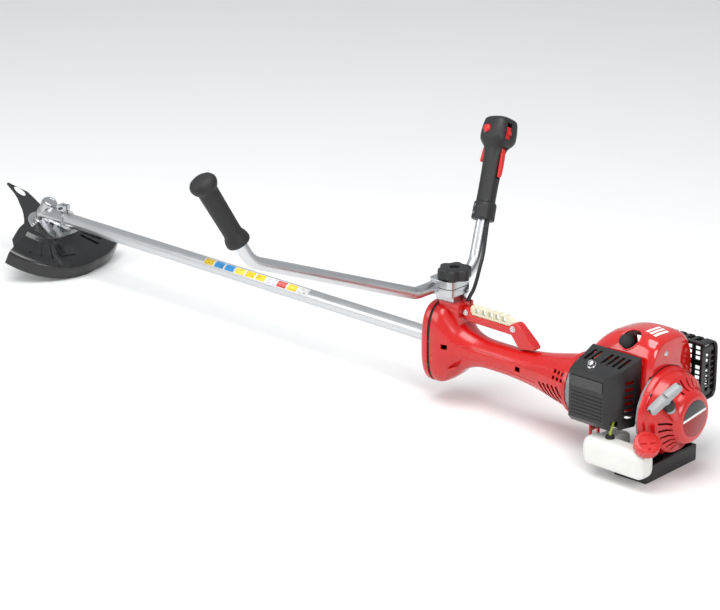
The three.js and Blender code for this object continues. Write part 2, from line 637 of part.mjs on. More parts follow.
// ---- drive housing: isolator plate, rubber ring and trumpet ----------------------------------------
const SEAM_X = -44;
const HOUSING_X = -50;
const FLANGE_X = -356;
const HOUSING_WALL = 2.6;
const TOWER_REAR = -94;
const TOWER_HALF = 20;

const plateStations = [
  { x: SEAM_X, half: 46, up: 76, down: 74, n: 3 }, { x: -34, half: 45, up: 75, down: 73, n: 3 },
  { x: -27, half: 40, up: 68, down: 67, n: 2.8 }, { x: -23, half: 30, up: 50, down: 52, n: 2.5 },
  { x: -21, half: 20, up: 24, down: 26, n: 2.2 },
];

function isolatorPlate() {
  const boss = rod([SEAM_X, 0, 0], [-22, 0, 0], TUBE_D / 2 + 6, 24);
  const pocket = loft(shrunk(plateStations, 3.2));
  const shell = cut(loft(plateStations), pocket.intersect(box(SEAM_X - 1, -12, -60, 60, -90, 90)));
  const web = box(SEAM_X, -26, -2.5, 2.5, -60, 60);
  return cut(join(shell, boss, web), rod([SEAM_X + 4, 0, 0], [10, 0, 0], TUBE_D / 2 + GAP, 28),
    rod([SEAM_X - 2, 0, 0], [0, 0, 0], 9, 20));
}
add(line, "isolator_plate", isolatorPlate(), "red");

function isolatorRubber() {
  const edge = { half: 44, up: 74, down: 72, n: 3 };
  const thick = (wall) => [{ x: HOUSING_X + GAP, ...edge }, { x: SEAM_X - GAP, ...edge }]
    .map((s) => ({ ...s, half: s.half - wall, up: s.up - wall, down: s.down - wall }));
  const hole = thick(10).map((s, i) => ({ ...s, x: s.x + (i ? 2 : -2) }));
  return cut(loft(thick(0)), loft(hole));
}
add(line, "isolator_rubber", isolatorRubber(), "rubber");

const housingStations = [
  { x: HOUSING_X, half: 46, up: 76, down: 74, n: 3 }, { x: -66, half: 45, up: 73, down: 70, n: 3 },
  { x: -84, half: 41, up: 54, down: 56, n: 2.8 }, { x: -102, half: 34, up: 37, down: 40, n: 2.4 },
  { x: -128, half: 28, up: 28.5, down: 29.5, n: 2.1 }, { x: -160, half: 26, up: 25.5, down: 26.5, n: 2 },
  { x: -200, half: 26, up: 25.5, down: 27, n: 2 }, { x: -240, half: 29, up: 28.5, down: 30, n: 2 },
  { x: -275, half: 34, up: 33.5, down: 34.5, n: 2 }, { x: -305, half: 40.5, up: 40, down: 40.5, n: 2 },
  { x: -335, half: 47, up: 47, down: 47, n: 2 }, { x: FLANGE_X, half: 51, up: 51, down: 51, n: 2 },
];
const BAR_SEAT_Z = 50; // underside of the carrying handle above the neck
const LUG_SCREW = [-91, 64];
const FOOT_X = -240;

function driveHousing() {
  const inside = shrunk(housingStations, HOUSING_WALL).map((s) => ({ ...s }));
  inside[0].x += 1;
  inside[inside.length - 1].x -= 1;
  const towerShape = [[TOWER_REAR, 40], [TOWER_REAR, TOWER_TOP], [-42, TOWER_TOP], [-50, 40]];
  const tower = plateXZ(towerShape.map(([x, z]) => [Math.min(x, HOUSING_X), z]), -TOWER_HALF, TOWER_HALF);
  const room = TOWER_REAR + 3;
  const towerRoom = plateXZ([[room, 30], [room, TOWER_TOP - 4], [-53, TOWER_TOP - 4], [-53, 30]], -17, 17);
  const flange = ring(FLANGE_X, FLANGE_X + 7, 54, 48, 32);
  return cut(
    join(loft(housingStations), tower, flange),
    loft(inside), towerRoom,
    rod([STUD_X, 0, 20], [STUD_X, 0, 100], STUD_D / 2 + GAP, 16),
    rod([-88, -10, 60], [-89.2, -14, 86], CABLE_R + 2, 12),
    box(-86, -74, 30, 60, 1, 10), box(-240, -228, 15, 60, -4, 5),
    ...[0, 1, 2, 3].map((k) => box(-345 + k * 9, -340 + k * 9, 15, 60, -38 + 3 * k, 4)),
  );
}
add(line, "drive_housing", driveHousing(), "red");

// ---- carrying handle with the hanger rail on top -----------------------------------------------------
const HANDLE_HALF = 9;
const RAIL_HALF = 4;
const RAIL_Z = 63;

function carryHandle() {
  const frame = plateXZ([
    [TOWER_REAR - GAP, 54], [TOWER_REAR - GAP, 74], [-106, 75], [-112, RAIL_Z - GAP], [-196, RAIL_Z - GAP],
    [-200, 68], [-212, 73], [-220, 71], [-255, 41], [-255, 34], [-222, 28],
    [-203, BAR_SEAT_Z], [-112, BAR_SEAT_Z + 1],
  ], -HANDLE_HALF, HANDLE_HALF);
  const slot = box(-208, -107, -RAIL_HALF - GAP, RAIL_HALF + GAP, RAIL_Z - GAP, 90);
  return cut(frame, slot, loft(housingStations.map((s) => ({ ...s, half: s.half + GAP, up: s.up + GAP }))));
}
add(line, "carry_handle", carryHandle(), "red");

function hangerRail() {
  const frame = plateXZ([
    [-107.5, RAIL_Z], [-107.5, 75], [-114, 81], [-192, 80], [-207.5, 72], [-207.5, RAIL_Z],
  ], -RAIL_HALF, RAIL_HALF);
  const holes = [0, 1, 2, 3, 4].map((k) => box(-127 - 15 * k, -117 - 15 * k, -9, 9, RAIL_Z + 4, 77));
  return cut(frame, ...holes);
}
add(line, "hanger_rail", hangerRail(), "cream");

// ---- clutch, crankshaft, crankcase, cylinder and piston ------------------------------------------------
const DRUM_WALL = 2.2;
const driveBore = DRIVE_D / 2 + GAP;
const drum = turned([
  [DRUM_X + 8, driveBore], [DRUM_X + 8, 9], [DRUM_X, 9], [DRUM_X, DRUM_R], [DRUM_X - DRUM_L, DRUM_R],
  [DRUM_X - DRUM_L, DRUM_R - DRUM_WALL], [DRUM_X - 3, DRUM_R - DRUM_WALL], [DRUM_X - 3, driveBore],
  [DRUM_X + 8, driveBore],
], 32);
add(line, "clutch_drum", drum, "darkSteel");

const STUB_R = 6;
const MAIN_R = 8;
const rotorProfile = [
  [DRUM_X - 8, STUB_R + GAP], [DRUM_X - 8, DRUM_R - DRUM_WALL - 1], [DRUM_X - 22, DRUM_R - DRUM_WALL - 1],
  [DRUM_X - 22, 14], [DRUM_X - 40, 12], [DRUM_X - 40, STUB_R + GAP], [DRUM_X - 8, STUB_R + GAP],
];
const shoeGap = (z) => box(DRUM_X - 24, DRUM_X - 6, -2, 2, z > 0 ? 16 : -40, z > 0 ? 40 : -16);
add(line, "clutch_rotor", cut(turned(rotorProfile, 28), shoeGap(1), shoeGap(-1)), "darkSteel");

const WEB_R = 23;
const WEB_T = 8;
const PIN_GAP = 12;
const FAN_X = -532;
const REEL_X = -568;
const CRANK_REAR = -545.5;
const crankshaft = join(
  rod([CRANK_REAR, 0, 0], [CRANK_X - PIN_GAP / 2 - 2, 0, 0], MAIN_R - 1, 18),
  rod([CRANK_X + PIN_GAP / 2 + 2, 0, 0], [DRUM_X - 42, 0, 0], MAIN_R, 18),
  rod([DRUM_X - 43, 0, 0], [DRUM_X - 10, 0, 0], STUB_R, 18),
  rod([CRANK_X - PIN_GAP / 2 - WEB_T, 0, 0], [CRANK_X - PIN_GAP / 2, 0, 0], WEB_R, 28),
  rod([CRANK_X + PIN_GAP / 2, 0, 0], [CRANK_X + PIN_GAP / 2 + WEB_T, 0, 0], WEB_R, 28),
  rod([CRANK_X - PIN_GAP, 0, STROKE / 2], [CRANK_X + PIN_GAP, 0, STROKE / 2], 5.5, 16),
);
add(line, "crankshaft", crankshaft, "steel");

const CASE_REAR = -518;
const STAND_TOP = -79;
const BACKPLATE_T = 5;
function crankcase() {
  const outer = turned([
    [FLANGE_X - GAP, 0], [FLANGE_X - GAP, 53], [FLANGE_X - 8, 53], [FLANGE_X - 20, 50], [FLANGE_X - 24, 31.5],
    [CASE_REAR, 31], [CASE_REAR, FAN_R - 2], [CASE_REAR - BACKPLATE_T, FAN_R - 2],
    [CASE_REAR - BACKPLATE_T, 0],
  ], 36);
  const deck = box(CRANK_X - 33, CRANK_X + 33, -31, 31, 0, DECK_Z);
  const legs = box(-503, -485, -14, 14, STAND_TOP + GAP, 0);
  const chamberHalf = PIN_GAP / 2 + WEB_T + 1.5;
  const chamber = rod([CRANK_X - chamberHalf, 0, 0], [CRANK_X + chamberHalf, 0, 0], WEB_R + 1.5, 28);
  const bell = rod([FLANGE_X - 18, 0, 0], [FLANGE_X + 2, 0, 0], 43, 32);
  const mainBore = rod([-600, 0, 0], [-340, 0, 0], MAIN_R + GAP, 20);
  const bore = rod([CRANK_X, 0, 0], [CRANK_X, 0, DECK_Z + 2], BORE_D / 2 + GAP, 28);
  const deckPlane = box(CRANK_X - 36, CRANK_X + 36, -60, 60, DECK_Z, 60);
  const rotorRoom = rod([-400, 0, 0], [-370, 0, 0], 15, 20);
  return cut(join(outer, deck, legs), chamber, bell, mainBore, bore, deckPlane, rotorRoom);
}
add(line, "crankcase", crankcase(), "alloy");

const HEAD_Z = 88;
const FIN_R = 30;
const plugBase = [CRANK_X - 6, 5, HEAD_Z + 3];
const plugTip = [CRANK_X - 20, 19, HEAD_Z + 23];
const PLUG_R = 6;
const plugAxis = new THREE.Vector3(...plugTip).sub(new THREE.Vector3(...plugBase)).normalize();
const onPlug = (t) => new THREE.Vector3(...plugBase).addScaledVector(plugAxis, t).toArray();

function cylinder() {
  const barrel = rod([CRANK_X, 0, DECK_Z + GAP], [CRANK_X, 0, HEAD_Z + 3], BORE_D / 2 + 4, 24);
  const dome = rod([CRANK_X, 0, HEAD_Z - 1], [CRANK_X, 0, HEAD_Z + 5], 19, 20, 17);
  const fins = [];
  for (let k = 0; k < 6; k++) {
    const z = DECK_Z + 12 + 7.5 * k;
    fins.push(rod([CRANK_X, 0, z], [CRANK_X, 0, z + 2], FIN_R, 20));
  }
  const foot = box(CRANK_X - 30, CRANK_X + 30, -30, 30, DECK_Z + GAP, DECK_Z + 7);
  const exhaust = box(CRANK_X - 14, CRANK_X + 14, -38, 0, 56, 72);
  const intake = box(CRANK_X - 14, CRANK_X + 14, 0, 38, 30 + 6, 56);
  const body = join(barrel, dome, ...fins, foot, exhaust, intake);
  return cut(
    body,
    rod([CRANK_X, 0, DECK_Z - 1], [CRANK_X, 0, HEAD_Z], BORE_D / 2 + GAP, 28),
    box(CRANK_X - 9, CRANK_X + 9, -60, 0, 59, 69), box(CRANK_X - 9, CRANK_X + 9, 0, 60, 41, 51),
    rod(onPlug(-12), onPlug(30), PLUG_R + GAP, 16), rod(onPlug(4.5), onPlug(40), 11, 16),
  );
}
add(line, "cylinder", cylinder(), "alloy");

const CROWN_Z = HEAD_Z - 4;
const PISTON_L = 29;
const piston = turned([
  [CROWN_Z, 0], [CROWN_Z, BORE_D / 2 - 0.2], [CROWN_Z - PISTON_L, BORE_D / 2 - 0.2],
  [CROWN_Z - PISTON_L, BORE_D / 2 - 3], [CROWN_Z - 5, BORE_D / 2 - 3], [CROWN_Z - 5, 0],
], 28, Z_AXIS);
add(line, "piston", move(piston, CRANK_X, 0, 0), "alloy");
const plug = join(
  rod(onPlug(-3), onPlug(6), PLUG_R, 16),
  rod(onPlug(5), onPlug(9), 9, 6),
  rod(onPlug(8), onPlug(18), 4.5, 14),
);
add(line, "spark_plug", plug, "steel");
const bootOuter = join(rod(onPlug(10), onPlug(24), 9.5, 18, 8), rod(onPlug(18), [-486, 6, 100], 3.5, 12));
add(line, "plug_boot", cut(bootOuter, rod(onPlug(5), onPlug(19), 4.5 + GAP, 14)), "rubber");

// ---- flywheel fan ----------------------------------------------------------------------------------
const FAN_DISC_R = FAN_R - 14;
function flywheel() {
  const front = CASE_REAR - BACKPLATE_T - 2;
  const bore = MAIN_R - 1 + GAP;
  const disc = turned([
    [front, bore], [front, FAN_DISC_R], [FAN_X, FAN_DISC_R], [FAN_X - 3, 20], [FAN_X - 22, 16],
    [FAN_X - 22, bore], [front, bore],
  ], 32);
  const blades = [];
  for (let k = 0; k < 12; k++) {
    blades.push(box(FAN_X - 15, FAN_X + 1, -1, 1, 32, FAN_R - 16).rotate([30 * k, 0, 0]));
  }
  return join(disc, ...blades);
}
add(line, "flywheel_fan", flywheel(), "alloy");

// ---- starter housing, reel, grip and rope -------------------------------------------------------------
const CASE_FRONT = CASE_REAR - BACKPLATE_T - GAP;
const CASE_WALL = 2.5;
const starterOutside = [
  [CASE_FRONT, FAN_R], [-532, FAN_R], [-537, 70], [-553, 66], [-565, 50],
  [-577, 45], [-582, 42], [-585, 36],
];
const PULL_LEAN = 36; // degrees from upright, towards the left
const guide = new THREE.Vector3(-573, 50, 26);
const pullAxis = new THREE.Vector3(0, Math.sin(rad(PULL_LEAN)), Math.cos(rad(PULL_LEAN)));
const STEM_L = 32;
const gripCentre = guide.clone().addScaledVector(pullAxis, STEM_L + GAP);
const onPull = (t) => guide.clone().addScaledVector(pullAxis, t).toArray();
const GUIDE_R = 9;
const ROPE_R = 1.8;

function starterHousing() {
  const inside = starterOutside.map(([x, r]) => [x + (x < -580 ? CASE_WALL : 0), r - CASE_WALL]).reverse();
  const rearFace = [[-585, 0], [-585 + CASE_WALL, 0]];
  const shell = turned([...starterOutside, ...rearFace, ...inside, starterOutside[0]], 48);
  const post = rod([-584, 0, 0], [-546, 0, 0], 6, 16);
  const boss = rod(onPull(-26), onPull(0), GUIDE_R, 18);
  const hollow = turned([
    [-540, 0], [-540, 62], [-553, 62], [-565, 47], [-577, 42], [-582, 39.3], [-582, 0],
  ], 48);
  const vents = [];
  for (let k = 0; k < 10; k++) {
    const angle = k < 5 ? -20 + 15 * k : -155 + 13 * (k - 5);
    vents.push(box(-574, -556, -1.8, 1.8, 44, 70).rotate([angle, 0, 0]));
  }
  return cut(join(shell, cut(boss, hollow), post), rod(onPull(-44), onPull(4), ROPE_R + 1.2, 12), ...vents);
}
add(line, "starter_housing", starterHousing(), "red");

const ROPE_TURN_R = guide.y * pullAxis.z - guide.z * pullAxis.y; // radius at which the rope leaves
const REEL_CORE_R = ROPE_TURN_R - ROPE_R - GAP;
const REEL_R = ROPE_TURN_R + 2;
const reel = turned([
  [-566, 6 + GAP], [-566, REEL_R], [-568, REEL_R], [-568.5, REEL_CORE_R], [-577, REEL_CORE_R],
  [-577.3, REEL_R], [-578.8, REEL_R], [-578.8, 6 + GAP], [-566, 6 + GAP],
], 28);
add(line, "starter_reel", reel, "black");

const GRIP_L = 66;
const STEM_R = 8;
const GRIP_TURN = 14; // degrees, the crossbar's outer end swung forward
const grip = new THREE.Group();
grip.position.copy(gripCentre);
const crossbar = new THREE.Vector3(Math.sin(rad(GRIP_TURN)), Math.cos(rad(GRIP_TURN)), 0);
crossbar.addScaledVector(pullAxis, -crossbar.dot(pullAxis)).normalize();
const across = crossbar.clone().cross(pullAxis);
grip.quaternion.setFromRotationMatrix(new THREE.Matrix4().makeBasis(across, crossbar, pullAxis));
line.add(grip);

function starterGrip() {
  const half = GRIP_L / 2;
  const barShape = loft([
    { x: -half, half: 6, up: 3, down: 6, n: 3 }, { x: -half + 7, half: 8.5, up: 6, down: 8, n: 3 },
    { x: 0, half: 9, up: 8.5, down: 8, n: 2.6 }, { x: half - 7, half: 8.5, up: 6, down: 8, n: 3 },
    { x: half, half: 6, up: 3, down: 6, n: 3 },
  ], 20).rotate([0, 0, 90]);
  const stem = rod([0, 0, -STEM_L], [0, 0, 0], STEM_R, 16, 7);
  const ropeBore = rod([0, 0, -40], [0, 0, -4], ROPE_R + GAP, 12);
  const slot = box(-9, 9, -3, 3, 3, 20);
  return cut(join(barShape, stem), ropeBore, slot);
}
add(grip, "starter_grip", starterGrip(), "silver");

// The rope leaves the reel, passes the guide and ends inside the grip.
const ROPE_TANGENT = -(guide.y * pullAxis.y + guide.z * pullAxis.z);
const ropeStart = new THREE.Vector3(...onPull(ROPE_TANGENT));
const ropeEnd = new THREE.Vector3(...onPull(STEM_L - 5));
const ropePath = new THREE.LineCurve3(ropeStart, ropeEnd);
add(line, "starter_rope", piped(ropePath, ROPE_R, 8, 8), "white");

// ---- engine cover ------------------------------------------------------------------------------------
const COVER_Y = -19;
const COVER_BOTTOM = -14;
const coverStations = [
  [-362, 44, 44], [-374, 50, 66], [-388, 54, 88], [-408, 56, 107], [-432, 57, 119], [-460, 58, 126],
  [-492, 59, 127], [-512, 59, 124], [-522, 55, 117],
].map(([x, half, top]) => ({ x, y: COVER_Y, z: 20, half, up: top - 20, down: 60, n: 3.2 }));
const AIR_BOX_Y = 41; // inner edge of the air cleaner

function engineCover() {
  const inside = shrunk(coverStations, COVER_WALL);
  inside[0].x += 8;
  inside[inside.length - 1].x += 2;
  const plugHole = rod([-459, 8, 92], [-470, 34, 146], 17, 24, 21);
  const carbRoom = box(-470, -410, 20, 60, -20, 74);
  const exhaustRoom = box(-494, -412, -100, -48, -20, 85);
  return cut(
    loft(coverStations), loft(inside), box(-600, -300, -120, 120, -120, COVER_BOTTOM),
    rod([-600, 0, 0], [CASE_REAR + 1, 0, 0], FAN_R + 1, 48), rod([-400, 0, 0], [-340, 0, 0], 55, 32),
    plugHole, carbRoom, exhaustRoom,
  );
}
add(line, "engine_cover", engineCover(), "red");

// ---- air cleaner, filter, bolt and carburettor -----------------------------------------------------------
const LINE_X = -482;
const LINE_Y = 90;
const AIR = { front: -404, rear: -475, low: -22, side: 104 };
const AIR_WALL = 2.5;

function airBox(inset) {
  const plan = plateXY([
    [AIR.front - inset, AIR_BOX_Y - 2 * inset], [AIR.front - 1 - inset, AIR.side - inset],
    [AIR.rear + inset / 2, AIR.side - inset], [-492 + inset, 82 - inset], [-504 + inset, 46],
    [-504 + inset, AIR_BOX_Y - 2 * inset],
  ], -60, 120);
  const section = plateYZ([
    [52, AIR.low + inset], [95, AIR.low + inset], [AIR.side + 1 - inset, AIR.low + 11 + inset],
    [AIR.side + 1 - inset, 70 - inset], [82 - inset / 2, 79 - inset], [AIR_BOX_Y - 2 * inset, 96 - inset],
    [AIR_BOX_Y - 2 * inset, AIR.low + 24 + inset],
  ], -600, -300);
  return plan.intersect(section);
}
const BOLT = [-436, 82, 74];
const boltAxis = new THREE.Vector3(0, 0.5, 0.866);
const onBolt = (t) => new THREE.Vector3(...BOLT).addScaledVector(boltAxis, t).toArray();
const slots = [];
for (let k = 0; k < 6; k++) {
  const x = AIR.front - 12 - 13 * k;
  if (k !== 2) slots.push(box(x - 6, x, 48, 76, 70, 110));
}
for (let k = 0; k < 6; k++) slots.push(box(-520, -490, 54, 72, -6 + 12 * k, 0 + 12 * k));
const airCover = cut(
  airBox(0), airBox(AIR_WALL), ...slots, rod(onBolt(-10), onBolt(20), 3.3, 14),
  rod([LINE_X, LINE_Y - 6, AIR.low - 10], [LINE_X, LINE_Y - 6, AIR.low + 16], 9, 16),
);
add(line, "air_cleaner_cover", airCover, "black");
const airBolt = join(rod(onBolt(-6), onBolt(12), 2.8, 14), rod(onBolt(6.5), onBolt(14), 5, 6));
add(line, "air_cleaner_bolt", airBolt, "steel");
add(line, "air_filter_element", box(-468, -412, 72, 98, -8, 60), "paper");

const CARB_Y = 39;
const carbBody = join(
  box(-458, -424, CARB_Y, 66, 32, 62),
  rod([CRANK_X, 60, 46], [CRANK_X, 70, 46], 15, 20),
  box(-452, -430, 44, 62, 60, 70),
);
const carburettor = cut(carbBody, rod([CRANK_X, 30, 46], [CRANK_X, 80, 46], 8, 18));
add(line, "carburettor", carburettor, "alloy");

// ---- muffler and its guard --------------------------------------------------------------------------
const MUFFLER_Y = -79;
const MUFFLER_Z = 44;

// A box with rounded edges, standing along X, its size across and up given at each end.
function canister(y, stations, facesAround) {
  const full = ([x, half, tall]) => ({ x, y, z: MUFFLER_Z, half, up: tall, down: tall, n: 4 });
  return loft(stations.map(full), facesAround);
}
const can = canister(MUFFLER_Y, [[-488, 22, 34], [-480, 27, 39], [-430, 27, 39], [-422, 22, 34]], 24);
const canRoom = canister(MUFFLER_Y - 1, [[-485, 24, 35], [-425, 24, 35]], 20);
const inlet = box(CRANK_X - 13, CRANK_X + 13, -60, -38.4, 56, 72);
const muffler = cut(
  can.add(inlet), canRoom,
  rod([CRANK_X, -100, 64], [CRANK_X, -20, 64], 4.5, 14), rod([-500, -92, 30], [-470, -92, 30], 5, 14),
);
add(line, "muffler", muffler, "darkSteel");

function mufflerGuard() {
  const shape = (inset) => {
    const station = (x, half, up, down) => ({
      x, y: -82, z: MUFFLER_Z, half: half - inset, up: up - inset, down: down - inset, n: 7,
    });
    return loft([
      station(-540 + inset, 30, 44, 44), station(-534 + inset, 37, 51, 52),
      station(-424 - inset, 37, 51, 52), station(-416 - inset, 30, 44, 44),
    ], 36);
  };
  const grille = [];
  for (let k = 0; k < 6; k++) {
    const x = -526 + 17 * k;
    for (let row = 0; row < 2; row++) grille.push(box(x, x + 10, -140, -112, 4 + 44 * row, 38 + 44 * row));
    grille.push(box(x, x + 10, -116, -86, 85, 110));
  }
  for (let k = 0; k < 2; k++) grille.push(box(-560, -525, -112 + 14 * k, -103 + 14 * k, 8, 78));
  return cut(shape(0), shape(2.5), box(-600, -400, -78.4, 0, -40, 140), ...grille);
}
add(line, "muffler_guard", mufflerGuard(), "black");

// ---- fuel tank, cap, line and bracket ---------------------------------------------------------------
const TANK_LOW = -86;
const TANK_TOP = -36;
const tankMid = (TANK_LOW + TANK_TOP) / 2;
const tankHalf = (TANK_TOP - TANK_LOW) / 2;
const CAP_R = 22;
const capCentre = new THREE.Vector3(-560, 95, -24);
const capAxis = new THREE.Vector3(-0.45, 0.35, 0.82).normalize();
const onCap = (t) => capCentre.clone().addScaledVector(capAxis, t).toArray();

function tankShape(inset) {
  const upright = (x, z, half, up, down, n) => ({
    x, y: 94, z, half: half - inset, up: up - inset, down: down - inset, n,
  });
  const flat = (x) => ({
    x, y: 62, z: -64, half: 42 - inset, up: 20 - inset, down: 20 - inset, n: 4,
  });
  const along = loft([
    upright(-562 + inset, tankMid - 2, 14, tankHalf - 8, tankHalf - 8, 3.4),
    upright(-550, tankMid, 18, tankHalf - 2, tankHalf, 4),
    upright(-454, tankMid, 18, tankHalf, tankHalf, 4),
    upright(-440 - inset, tankMid, 13, tankHalf - 6, tankHalf - 6, 3.4),
  ], 24);
  return along.add(loft([flat(-473 + inset), flat(-444 - inset)], 20));
}
const neck = rod(onCap(-16), onCap(-2), 15, 20);
const shoulder = rod(onCap(-9), onCap(40), 27, 20); // where the cap's face is cut into the tank
const tank = cut(
  cut(tankShape(0), shoulder).add(neck), cut(tankShape(2), rod(onCap(-11), onCap(40), 29, 20)),
  rod(onCap(-30), onCap(0), 12, 20),
  rod([LINE_X, LINE_Y, TANK_TOP - 8], [LINE_X, LINE_Y, TANK_TOP + 4], 3 + GAP, 12),
);
add(line, "fuel_tank", tank, "tank");

function fuelCap() {
  const points = [];
  for (let i = 0; i < 48; i++) {
    const angle = (2 * Math.PI * i) / 48;
    const r = CAP_R - (i % 4 === 0 ? 1.2 : 0);
    points.push([r * Math.cos(angle), r * Math.sin(angle)]);
  }
  const upright = cut(
    join(plateXY(points, -8, 7), turned([[6, 0], [6, CAP_R - 2], [10, CAP_R - 6], [10, 0]], 24, Z_AXIS)),
    rod([0, 0, -9], [0, 0, 4], 16.5, 20),
  );
  const turn = new THREE.Quaternion().setFromUnitVectors(Z_AXIS, capAxis);
  const place = new THREE.Matrix4().makeRotationFromQuaternion(turn).setPosition(capCentre);
  return upright.transform(place.elements);
}
add(line, "fuel_cap", fuelCap(), "red");

const fuelPath = new THREE.CatmullRomCurve3([
  new THREE.Vector3(LINE_X, LINE_Y, TANK_TOP - 6), new THREE.Vector3(LINE_X, LINE_Y, -28),
  new THREE.Vector3(LINE_X + 2, LINE_Y - 10, -12), new THREE.Vector3(-474, 66, 8),
  new THREE.Vector3(-468, 58, 28), new THREE.Vector3(-462, 56, 38),
]);
add(line, "fuel_line", piped(fuelPath, 2.5, 16, 8), "line");

// ---- engine stand -----------------------------------------------------------------------------------
const STAND_HALF = 70;
function engineStand() {
  const low = -SHAFT_HEIGHT;
  const outer = box(-543, -477, -STAND_HALF, STAND_HALF, low, STAND_TOP);
  const hollow = box(-538, -482, -STAND_HALF + 4, STAND_HALF - 4, low + 4, -60);
  const arch = rod([-560, 0, 0], [-485.5, 0, 0], FAN_R + 1, 48);
  const bridge = box(-505, -480, -29, 29, low + 1, STAND_TOP);
  return cut(join(cut(outer, hollow), bridge), arch);
}
add(line, "engine_stand", engineStand(), "black");

function tankBracket() {
  const holes = [0, 1, 2].map((k) => box(-430, -410, 46, 62, -80 + 19 * k, -67 + 19 * k));
  return cut(box(-424, -420, 41, 67, -84, AIR.low - GAP), ...holes);
}
add(line, "tank_bracket", tankBracket(), "red");

export default machine;
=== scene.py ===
# A petrol brush cutter, built in the order in which it is put together: drive tube, cutting head,
# handlebar, clutch housing, engine. The row frame is in metres: +X along the tube from the engine
# to the blade, +Y to the operator's left, +Z up, and the engine's stand rests on the floor.
import json
from math import atan2, cos, degrees, pi, radians, sin

import bmesh
import bpy
from mathutils import Matrix, Vector

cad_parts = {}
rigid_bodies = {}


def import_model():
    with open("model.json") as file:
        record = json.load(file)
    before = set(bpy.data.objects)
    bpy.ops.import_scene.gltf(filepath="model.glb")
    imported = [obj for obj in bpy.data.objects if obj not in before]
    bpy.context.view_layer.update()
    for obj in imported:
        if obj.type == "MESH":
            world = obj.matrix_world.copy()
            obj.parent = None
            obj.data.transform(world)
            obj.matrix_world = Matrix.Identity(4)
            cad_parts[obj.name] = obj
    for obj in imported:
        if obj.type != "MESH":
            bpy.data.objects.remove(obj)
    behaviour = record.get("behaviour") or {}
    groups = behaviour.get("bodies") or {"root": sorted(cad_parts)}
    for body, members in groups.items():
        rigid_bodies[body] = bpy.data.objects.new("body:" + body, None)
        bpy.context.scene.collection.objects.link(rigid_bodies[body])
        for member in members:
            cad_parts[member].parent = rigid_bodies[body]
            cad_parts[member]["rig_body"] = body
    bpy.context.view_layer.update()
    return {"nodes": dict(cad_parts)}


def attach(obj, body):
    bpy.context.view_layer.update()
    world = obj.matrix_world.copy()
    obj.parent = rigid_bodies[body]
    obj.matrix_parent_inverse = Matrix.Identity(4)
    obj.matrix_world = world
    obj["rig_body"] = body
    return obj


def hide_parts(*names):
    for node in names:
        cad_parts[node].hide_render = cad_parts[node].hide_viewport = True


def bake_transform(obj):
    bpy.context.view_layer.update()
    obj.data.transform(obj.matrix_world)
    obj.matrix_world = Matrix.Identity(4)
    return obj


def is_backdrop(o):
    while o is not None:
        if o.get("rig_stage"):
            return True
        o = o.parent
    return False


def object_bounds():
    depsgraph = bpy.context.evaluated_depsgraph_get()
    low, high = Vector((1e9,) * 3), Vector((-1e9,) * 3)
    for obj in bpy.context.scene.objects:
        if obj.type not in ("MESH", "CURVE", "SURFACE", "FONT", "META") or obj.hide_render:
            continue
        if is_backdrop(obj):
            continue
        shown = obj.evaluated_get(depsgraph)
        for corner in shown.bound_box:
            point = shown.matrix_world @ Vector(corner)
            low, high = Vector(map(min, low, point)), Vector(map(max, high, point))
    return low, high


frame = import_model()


# ---- camera -----------------------------------------------------------------------------------
# A long lens from the operator's left and a little above, looking across the engine to the blade.
camera = bpy.data.objects.new("camera", bpy.data.cameras.new("camera"))
bpy.context.scene.collection.objects.link(camera)
camera.data.lens = 132.5
camera.data.sensor_width = 36.0
camera.data.clip_end = 60.0
camera.location = (-2.37335, 3.31712, 1.76666)
camera.rotation_euler = Vector((0.6345, -0.6925, -0.3433)).to_track_quat("-Z", "Y").to_euler()
bpy.context.scene.camera = camera


# ---- studio -----------------------------------------------------------------------------------
# A pale sweep of floor, one large soft light overhead, a fill on each side and an even pale world,
# as in a catalogue studio.
def colour(hex_text):
    parts = [int(hex_text[i:i + 2], 16) / 255 for i in (1, 3, 5)]
    return [p / 12.92 if p <= 0.04045 else ((p + 0.055) / 1.055) ** 2.4 for p in parts] + [1.0]


def feed(owner, node, sockets):
    """Gives a node's inputs their values, or links them to other nodes' outputs."""
    for key, value in sockets.items():
        if isinstance(value, bpy.types.NodeSocket):
            owner.node_tree.links.new(value, node.inputs[key])
        else:
            node.inputs[key].default_value = value


def add_node(owner, kind, sockets=None, **settings):
    """Adds a node. Settings are its properties; sockets are values or other nodes' outputs."""
    made_node = owner.node_tree.nodes.new(kind)
    for key, value in settings.items():
        setattr(made_node, key, value)
    feed(owner, made_node, sockets or {})
    return made_node


def new_material(name):
    material = bpy.data.materials.new(name)
    material.use_nodes = True
    return material


def surface(material, sockets):
    """Sets or links the inputs of a material's own shader."""
    feed(material, material.node_tree.nodes["Principled BSDF"], sockets)


studio_floor = new_material("matt_white_paper_sweep")
paper_place = add_node(studio_floor, "ShaderNodeTexCoord")
paper_fibre = add_node(studio_floor, "ShaderNodeTexNoise",
                       {"Vector": paper_place.outputs["Object"], "Scale": 3.0})
paper_tint = add_node(studio_floor, "ShaderNodeValToRGB", {"Fac": paper_fibre.outputs["Fac"]})
paper_tint.color_ramp.elements[0].color = colour("#f1f1f0")
paper_tint.color_ramp.elements[1].color = colour("#f4f4f3")
surface(studio_floor, {"Roughness": 0.9, "Base Color": paper_tint.outputs["Color"]})

